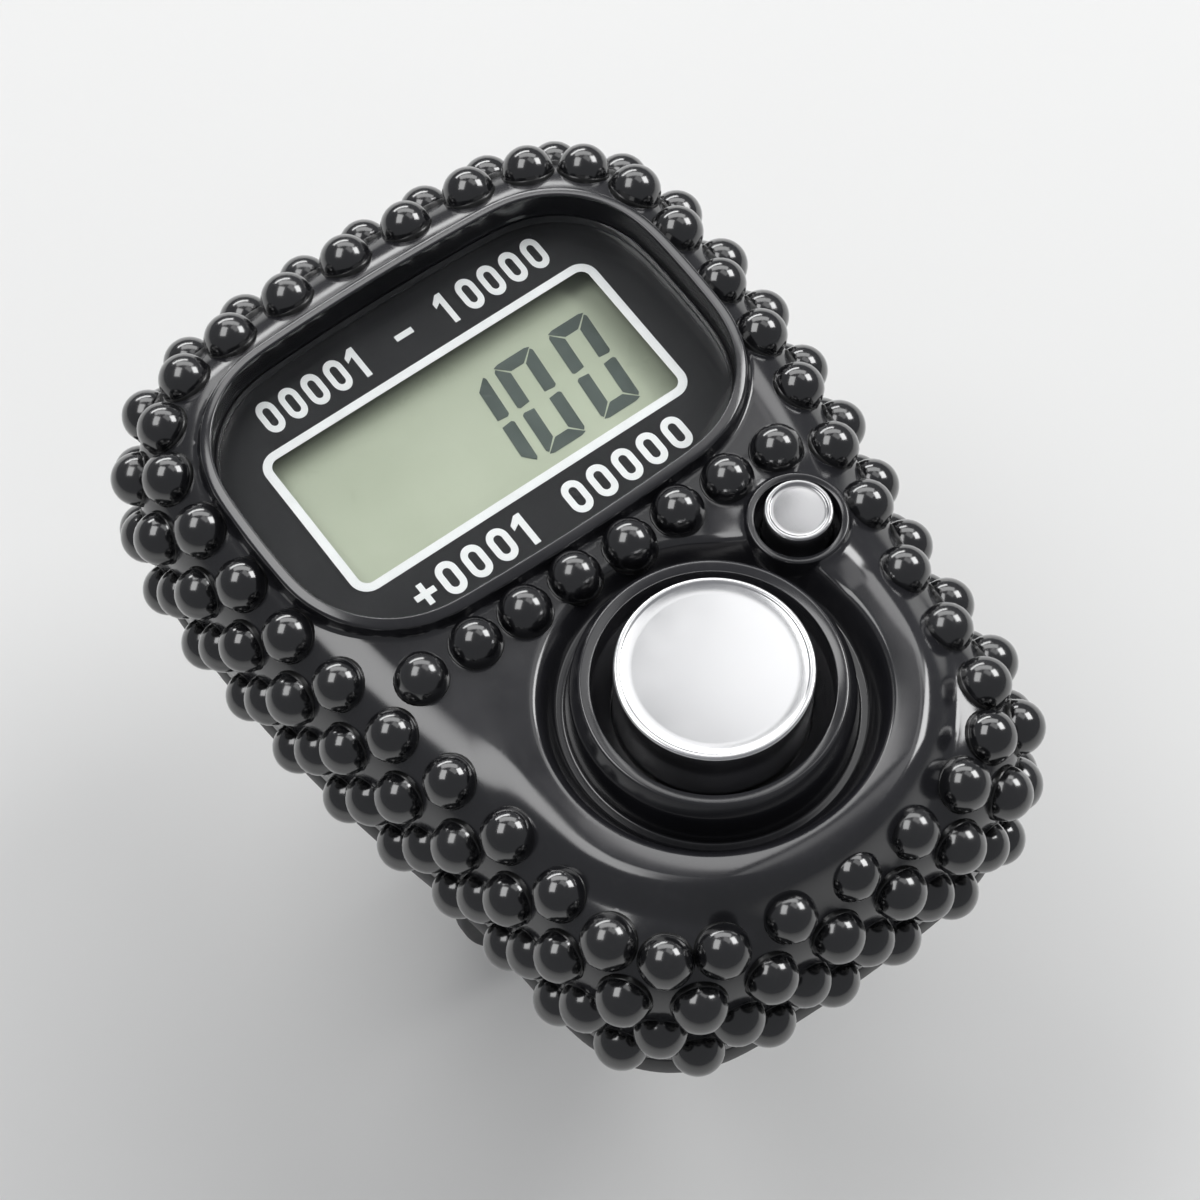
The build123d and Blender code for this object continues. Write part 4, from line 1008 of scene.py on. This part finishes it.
def strapPattern(length):
    # outline of one half laid flat, with a round-cornered tail
    half, r = strap["width"] / 2, strap["tailRadius"]
    corner = np.radians(np.linspace(-90, 0, strap["tailSteps"]))
    lower = [(u, -half) for u in np.arange(0, length - r, strap["stepAlong"])]
    lower += [(length - r + r * math.cos(a), -half + r + r * math.sin(a)) for a in corner]
    tail = [(length, v) for v in np.linspace(-half + r, half - r, strap["tailPoints"])[1:-1]]
    upper = [(u, -v) for u, v in reversed(lower)]
    root = [(0, v) for v in np.linspace(half, -half, strap["rootPoints"])[1:-1]]
    return np.array(lower + tail + upper + root)


def strapHalf(reach, sweep, side, holeAngles):
    border, slope, hole = strap["borderWidth"], strap["borderSlope"], peg["holeRadius"]
    line, along = strapLine(reach, sweep)
    length = along[-1]
    outline = strapPattern(length)
    loopStart = length - reach * math.radians(sweep)
    centres = [(loopStart + reach * math.radians(a), 0) for a in holeAngles]
    holes = [circleLoop(c, hole, peg["holeSides"]) for c in centres]
    insets = (*strap["borderRings"], border, border + slope / 2, border + slope)
    extra = [grown(outline, -inset) for inset in insets]
    extra += [circleLoop(c, hole + away, peg["ringSides"]) for c in centres for away in peg["holeRings"]]
    rows = np.linspace(-strap["gridReach"], strap["gridReach"], strap["gridRows"])
    extra.append(gridPoints(np.arange(strap["gridStart"], length, strap["stepAlong"]), rows))
    t = strap["thickness"] / 2
    points, faces, _ = plate(outline, holes, -t, t, strap["edgeEase"], np.vstack(extra), strap["easeSteps"],
                             strap["spacing"])
    points = np.array(points)
    flat = points[:, :2]

    # field sunk inside the border and the rings round the holes
    sunk = (distanceTo(flat, outline) - border) / slope
    for c in centres:
        fromHole = np.hypot(flat[:, 0] - c[0], flat[:, 1] - c[1]) - hole - peg["holeBorder"]
        sunk = np.minimum(sunk, fromHole / slope)
    sunk = np.clip(sunk, 0, 1)
    points[:, 2] -= np.sign(points[:, 2]) * strap["fieldDrop"] * sunk * sunk * (3 - 2 * sunk)
    anchor = roundedBox((side * strap["anchorX"], 0), strap["anchorWidth"], strap["width"],
                        strap["anchorCorner"],
                         strap["anchorSteps"])
    block = plate(anchor, [], strap["rootZ"], strap["anchorTop"], strap["anchorEase"])
    return [(bent(points, line, along, side), faces), block[:2]]


def makeStrap():
    step = math.degrees(peg["holePitch"] / strap["outerReach"])
    count = peg["holesEachSide"]
    holeAngles = [-peg["angle"] + k * step for k in range(-count, count + 1)]
    holed = strapHalf(strap["outerReach"], strap["outerSweep"], 1, holeAngles)
    pegged = strapHalf(strap["innerReach"], strap["innerSweep"], -1, [])
    a = math.radians(peg["angle"])
    inside, outside = [strap[key] + strap["thickness"] / 2 for key in ("innerReach", "outerReach")]
    path = [(r, outside + z) for r, z in peg["head"]] + [(r, inside + z) for r, z in peg["root"]]
    pegged.append(standing(turned(path, (0, 0), peg["sides"]), (0, 0, 0), (math.cos(a), 0, math.sin(a))))
    for name, parts in (("holed", holed), ("pegged", pegged)):
        makePiece(name + "_band", joined(parts), "strapRubber", stands=("strap_" + name,),
                  sharp=50)
    print("strap made")


makeStrap()


# rear shell, battery door and screws

# marks by angle, a dot and a ring: shares of radius and rise
rearShell = dict(floor=1.2, parting=2.2, edgeRound=0.75, tongueInset=1.5, tongueWall=0.5, tongueRise=0.95,
                 ease=0.12, openingRadius=6.15, grooveRadius=6.95, notchGap=0.05, ledge=0.6, notchSpread=44,
                 notchAngles=(-60, 120), slotWidth=1.6, slotLength=8.6, slotCorner=0.15, headHole=1.9,
                 shankHole=1.05, screwSink=1.1, postRadius=2.5, cupInner=5.95, cupOuter=7.55, cupTop=4.05,
                 cupStep=0.1, pillarRadius=1.2, pillarTop=4.85, pillars=((8.8, 15.2), (-8.8, 15.2)),
                 root=0.05, grid=1.4, gridReach=(14, 19.6), spacing=0.4, markRadius=0.5, markRise=0.14,
                 markRoot=0.02, markReach=8.1, markSides=28, edgeAngles=(10, 91, 10), openingStep=3,
                 cutMargin=2, cutSlope=0.4, slotSteps=3, holeSides=48, cupSides=120, pillarSides=40,
                 marks={90: ((0, 1), (0.6, 0.8), (1, 0), (0, 0)),
                        30: ((0.6, 0), (0.72, 1), (0.95, 1), (1.1, 0), (0.6, 0))})
screwPlaces = ((0, 16.8), (-6.7, -14.7), (6.7, -14.7))
door = dict(radius=6.05, tabRadius=6.85, tabInner=5.4, tabSpread=36, tabEase=0.04, ledge=0.7, slotWidth=1.6,
            slotLength=8.6, slotDepth=0.6, thickness=1.2, ease=0.14, backInset=0.02, backEase=0.05,
            pointer=((-0.75, 3.3), (0.75, 3.3), (0, 4.9)), pointerRise=0.13, pointerRoot=0.05,
            pointerEase=0.05, sides=120, slotFlat=0.01, slotSteps=10, tabPoints=13)
screw = dict(headRadius=1.7, headHeight=0.95, headEase=0.14, underInset=0.01, underEase=0.05,
             crossWidth=0.42, crossLength=2.0, crossDepth=0.45, shankRadius=0.93, shankRoot=0.05,
             tipLength=0.4, tipShare=0.6, threadPitch=0.55, threadDepth=0.13, headSides=56, shankSides=32)
rearZ = boxOf("rear_cover")[0].z
doorZ = boxOf("battery_door")[0].z
doorCentre = middleOf(*boxOf("battery_door"))


def polar(centre, radius, degrees):
    a = math.radians(degrees)
    return centre[0] + radius * math.cos(a), centre[1] + radius * math.sin(a)


def doorOpening():
    # round opening with two notches for the door's tabs, and the groove behind it at the same angles
    r = rearShell
    opening, groove = [], []
    half, wide = r["notchSpread"] / 2, r["grooveRadius"]
    cuts = [a + sign * half for a in r["notchAngles"] for sign in (-1, 1)]
    angles = np.arange(-180, 180, r["openingStep"])
    angles = [a for a in angles if min(abs(a - c) for c in cuts) > r["cutMargin"]]
    for a in sorted(angles + [c + d for c in cuts for d in (-r["cutSlope"], r["cutSlope"])]):
        inNotch = any(abs((a - n + 180) % 360 - 180) < half for n in r["notchAngles"])
        opening.append(polar(doorCentre, wide - r["notchGap"] if inNotch else r["openingRadius"], a))
        groove.append(polar(doorCentre, wide, a))
    return np.array(opening), np.array(groove)


def makeRearShell():
    r, z = rearShell, rearZ
    floorTop, parting, ledge, sink = [z + r[key] for key in ("floor", "parting", "ledge", "screwSink")]
    ease, edge, shankHole = r["ease"], r["edgeRound"], r["shankHole"]
    opening, groove = doorOpening()
    slots = [roundedBox((side * strap["anchorX"], 0), r["slotWidth"], r["slotLength"], r["slotCorner"],
                        r["slotSteps"])
             for side in (1, -1)]
    heads = [circleLoop(c, r["headHole"], r["holeSides"]) for c in screwPlaces]
    shanks = [circleLoop(c, shankHole, r["holeSides"]) for c in screwPlaces]
    net = Net()
    eased = [grown(loop, ease) for loop in [opening] + slots + heads]
    grid = gridPoints(*[np.arange(-reach, reach + 0.1, r["grid"]) for reach in r["gridReach"]])
    flat, rings = net.sheet([grown(caseLoop, -edge)] + eased, lambda flat: z, grid, r["spacing"])

    # round back edge, side wall, seam, and the tongue inside the front shell
    bevel, tongue = frontShell["seamBevel"], -r["tongueInset"]
    tongueTop, tongueBack = parting + r["tongueRise"], tongue - r["tongueWall"]
    angles = np.radians(np.arange(*r["edgeAngles"]))
    path = [(-edge * (1 - math.sin(a)), z + edge * (1 - math.cos(a))) for a in angles]
    path += [(0, parting - bevel), (-bevel, parting), (tongue, parting), (tongue, tongueTop - bevel),
             (tongue - bevel, tongueTop), (tongueBack, tongueTop), (tongueBack, floorTop)]
    inside = [net.skirt(rings[0], offsets(caseLoop, path))]

    # openings: door with its bayonet ledge, strap slots, sunk screw holes
    deeper = [[(opening, ledge), (groove, ledge), (groove, floorTop)]]
    deeper += [[(slot, floorTop)] for slot in slots]
    deeper += [[(head, sink), (shank, sink), (shank, floorTop)] for head, shank in zip(heads, shanks)]
    for loop, ring, steps in zip([opening] + slots + heads, rings[1:], deeper):
        mouth = offsets(loop, [(ease / 3, z + ease / 3), (0, z + ease)])
        inside.append(net.skirt(ring, mouth + steps))
    net.close(inside)
    normals = [(0, 0, -1)] * len(flat) + [(0, 0, 0)] * (len(net.points) - len(flat))

    # cell cup, board pillars, screw posts, and the two marks for the door's pointer
    root, cupFoot, cupTop = floorTop - r["root"], floorTop + r["cupStep"], z + r["cupTop"]
    cup = [(r["grooveRadius"], root), (r["grooveRadius"], cupFoot), (r["cupInner"], cupFoot),
           (r["cupInner"], cupTop),
           (r["cupOuter"], cupTop), (r["cupOuter"], root), (r["grooveRadius"], root)]
    pillarTop, wide = z + r["pillarTop"], r["pillarRadius"]
    pillar = [(0, root), (wide, root), (wide, pillarTop), (0, pillarTop)]
    post = [(shankHole, root), (shankHole, parting), (r["postRadius"], parting), (r["postRadius"], root),
            (shankHole, root)]
    parts = [(net.points, net.faces, normals), turned(cup, doorCentre, r["cupSides"])]
    parts += [turned(pillar, place, r["pillarSides"]) for place in r["pillars"]]
    parts += [turned(post, place, r["holeSides"]) for place in screwPlaces]
    size, rise, foot = r["markRadius"], r["markRise"], z + r["markRoot"]
    for angle, shape in r["marks"].items():
        path = [(size * share, z - rise * up if up else foot) for share, up in shape]
        parts.append(turned(path, polar(doorCentre, r["markReach"], angle), r["markSides"]))
    makePiece("rear_shell", joined(parts), "rearMoulding", stands=("rear_cover",),
              sharp=50)


def makeDoor():
    d, z = door, doorZ
    slotZ, ledgeUp, top = [z + d[key] for key in ("slotDepth", "ledge", "thickness")]
    disc = circleLoop(doorCentre, d["radius"], d["sides"])
    slot = roundedBox(doorCentre, d["slotLength"], d["slotWidth"], d["slotWidth"] / 2 - d["slotFlat"],
                      d["slotSteps"])
    parts = [plate(disc, [slot], z, slotZ, d["ease"], spacing=0.1),
             plate(grown(disc, -d["backInset"]), [], slotZ, top, d["backEase"])]
    spread = np.linspace(-d["tabSpread"] / 2, d["tabSpread"] / 2, d["tabPoints"])
    for middle in (0, 180):
        tab = [polar(doorCentre, d["tabRadius"], middle + a) for a in spread]
        tab += [polar(doorCentre, d["tabInner"], middle + a) for a in reversed(spread)]
        parts.append(plate(np.array(tab), [], ledgeUp, top, d["tabEase"], steps=2, spacing=0.1))
    pointer = np.array([(doorCentre[0] + x, doorCentre[1] + y) for x, y in d["pointer"]])
    parts.append(plate(pointer, [], z - d["pointerRise"], z + d["pointerRoot"], d["pointerEase"], steps=2,
                       spacing=0.05))
    makePiece("cell_door", joined(parts), "doorMoulding", body="battery_door", stands=("battery_door",),
              sharp=50)


def makeScrews():
    s = screw
    low, high = boxOf("case_screws")
    floor, start = low.z + s["crossDepth"], low.z + s["headHeight"]
    radius, pitch = s["shankRadius"], s["threadPitch"]
    path = [(0, start - s["shankRoot"]), (radius, start - s["shankRoot"])]
    for k in range(int((high.z - s["tipLength"] - start) / pitch)):
        at = start + (k + 0.5) * pitch
        path += [(radius - s["threadDepth"], at), (radius, at + pitch / 2)]
    path += [(radius * s["tipShare"], high.z), (0, high.z)]
    parts = []
    for place in screwPlaces:
        head = circleLoop(place, s["headRadius"], s["headSides"])
        cross = crossLoop(place, s["crossLength"] / 2, s["crossWidth"] / 2)
        parts += [plate(head, [cross], low.z, floor, s["headEase"], spacing=0.06),
                  plate(grown(head, -s["underInset"]), [], floor, start, s["underEase"]),
                  turned(path, place, s["shankSides"])]
    makePiece("back_screws", joined(parts), "screwSteel", stands=("case_screws",),
              sharp=35)


makeRearShell()
makeDoor()
makeScrews()
print("back made")


# soft and poured pieces on the board: chip drop, contact pads, connector strip

chipDrop = dict(foot=0.12, footShare=0.995, domeShare=0.98, roundness=0.8, rings=10, sides=48)
contactPad = dict(ease=0.09, easeSteps=4, clearance=0.02, sides=56)
connector = dict(ease=0.1, cornerRadius=0.2, cornerSteps=5)


def makeChipDrop():
    c = chipDrop
    low, high = boxOf("chip_blob")
    radius, depth = (high.x - low.x) / 2, high.z - low.z - c["foot"]
    path = [(0, high.z), (radius, high.z), (radius * c["footShare"], high.z - c["foot"])]
    for a in np.linspace(math.pi / 2, 0, c["rings"])[1:]:
        path.append((radius * c["domeShare"] * math.sin(a),
                     low.z + depth * (1 - math.cos(a) ** c["roundness"])))
    part = turned(path, middleOf(low, high), c["sides"])
    makePiece("chip_drop", part, "chipEpoxy", stands=("chip_blob",))


def makePad(name, node, body, centre):
    # rubber pad that stops just short of the board at full press
    low, high = boxOf(node)
    radius, floor = (high.x - low.x) / 2, low.z + contactPad["clearance"]
    path = [(0, floor), (radius, floor), (radius, high.z), (0, high.z)]
    path = cornersRounded(path, [contactPad["ease"]] * 2, contactPad["easeSteps"])
    makePiece(name, turned(path, centre, contactPad["sides"]), "pillCarbon", body=body, stands=(node,))


def makeConnector():
    low, high = boxOf("zebra_strip")
    outline = roundedBox(middleOf(low, high), high.x - low.x, high.y - low.y, connector["cornerRadius"],
                         connector["cornerSteps"])
    makePiece("connector_bar", plate(outline, [], low.z, high.z, connector["ease"]), "zebraRubber",
              stands=("zebra_strip",))


makeChipDrop()
makePad("count_pad", "count_pill", "count_button", countCentre)
makePad("reset_pad", "reset_pill", "reset_button", resetCentre)
makeConnector()
print("board pieces made")


# nodes that keep their own shape

nodeFinish = {
    "display_mask": "maskPrint", "lcd_reflector": "reflectorFilm", "lcd_frame": "framePlastic",
    "circuit_board": "boardLaminate", "board_chips": "chipEpoxy", "button_cell": "cellSteel",
    "contact_negative": "contactSteel", "contact_positive": "contactSteel", "frame_screws": "screwSteel",
}
for node, name in nodeFinish.items():
    nodes[node].data.materials.clear()
    nodes[node].data.materials.append(finish[name])


# stage, light and camera

stage = dict(floorHalf=900, floorColour=(0.80, 0.80, 0.79), floorSpread=1.02, skyColour=(0.93, 0.95, 1.0),
             sky=0.25, azimuth=-36.2, elevation=63.3, lens=110, sensor=36, distance=163, clip=(0.01, 10),
             target=(0.3, -0.4, 15.5))
# direction, distance, width, height, watts
lamps = {
    "keySoftbox": ((0.74, -0.05, 0.66), 430, 190, 160, 0.75),
    "topSoftbox": ((0.44, 0.16, 0.93), 300, 150, 95, 0.045),
    "backStrip": ((0.40, 0.58, 0.66), 400, 420, 140, 0.45),
    "rimStrip": ((0.27, 0.88, 0.40), 400, 320, 60, 0.4),
    "leftSoftbox": ((-0.28, 0.36, 0.89), 420, 280, 180, 0.55),
}


def addObject(name, data):
    made = bpy.data.objects.new(name, data)
    bpy.context.scene.collection.objects.link(made)
    return made


def makeStage():
    reach, z = stage["floorHalf"] * mm, cadBox[0].z
    mesh = bpy.data.meshes.new("floor")
    corners = [(-reach, -reach, z), (reach, -reach, z), (reach, reach, z), (-reach, reach, z)]
    mesh.from_pydata(corners, [], [(0, 1, 2, 3)])
    colour = stage["floorColour"]
    look = dict(dark=colour, light=tuple(c * stage["floorSpread"] for c in colour), roughness=(0.6, 0.7),
                fineScale=900, coarseScale=12, bump=0.02, specular=0.2)
    material, tree, shader = newMaterial("floorPaint", look)
    # clear from below, so that the underside can be seen
    letThrough(tree, addNode(tree, "ShaderNodeNewGeometry").outputs["Backfacing"], shader)
    mesh.materials.append(material)
    addObject("floor", mesh)
    world = bpy.data.worlds.new("studio")
    world.use_nodes = True
    background = world.node_tree.nodes["Background"]
    background.inputs["Color"].default_value = (*stage["skyColour"], 1)
    background.inputs["Strength"].default_value = stage["sky"]
    bpy.context.scene.world = world


def aimed(thing, place, back):
    # at a place in metres, looking along the opposite of back
    thing.location = place
    thing.rotation_mode = "QUATERNION"
    thing.rotation_quaternion = back.to_track_quat("Z", "Y")
    return thing


def addLamp(name, direction, distance, width, height, watts):
    light = bpy.data.lights.new(name, "AREA")
    light.shape = "RECTANGLE"
    light.size, light.size_y = width * mm, height * mm
    light.energy = watts
    back = Vector(direction).normalized() * distance * mm
    aimed(addObject(name, light), back + Vector(stage["target"]) * mm, back)


def makeCamera():
    a, e = math.radians(stage["azimuth"]), math.radians(stage["elevation"])
    back = Vector((math.sin(a) * math.cos(e), -math.cos(a) * math.cos(e), math.sin(e)))
    data = bpy.data.cameras.new("camera")
    data.lens = stage["lens"]
    data.sensor_width = stage["sensor"]
    data.clip_start, data.clip_end = stage["clip"]
    place = (Vector(stage["target"]) + back * stage["distance"]) * mm
    bpy.context.scene.camera = aimed(addObject("camera", data), place, back)


makeStage()
for name, lamp in lamps.items():
    addLamp(name, *lamp)
makeCamera()
bpy.context.scene.view_settings.view_transform = "Standard"
print("stage, lamps and camera made")
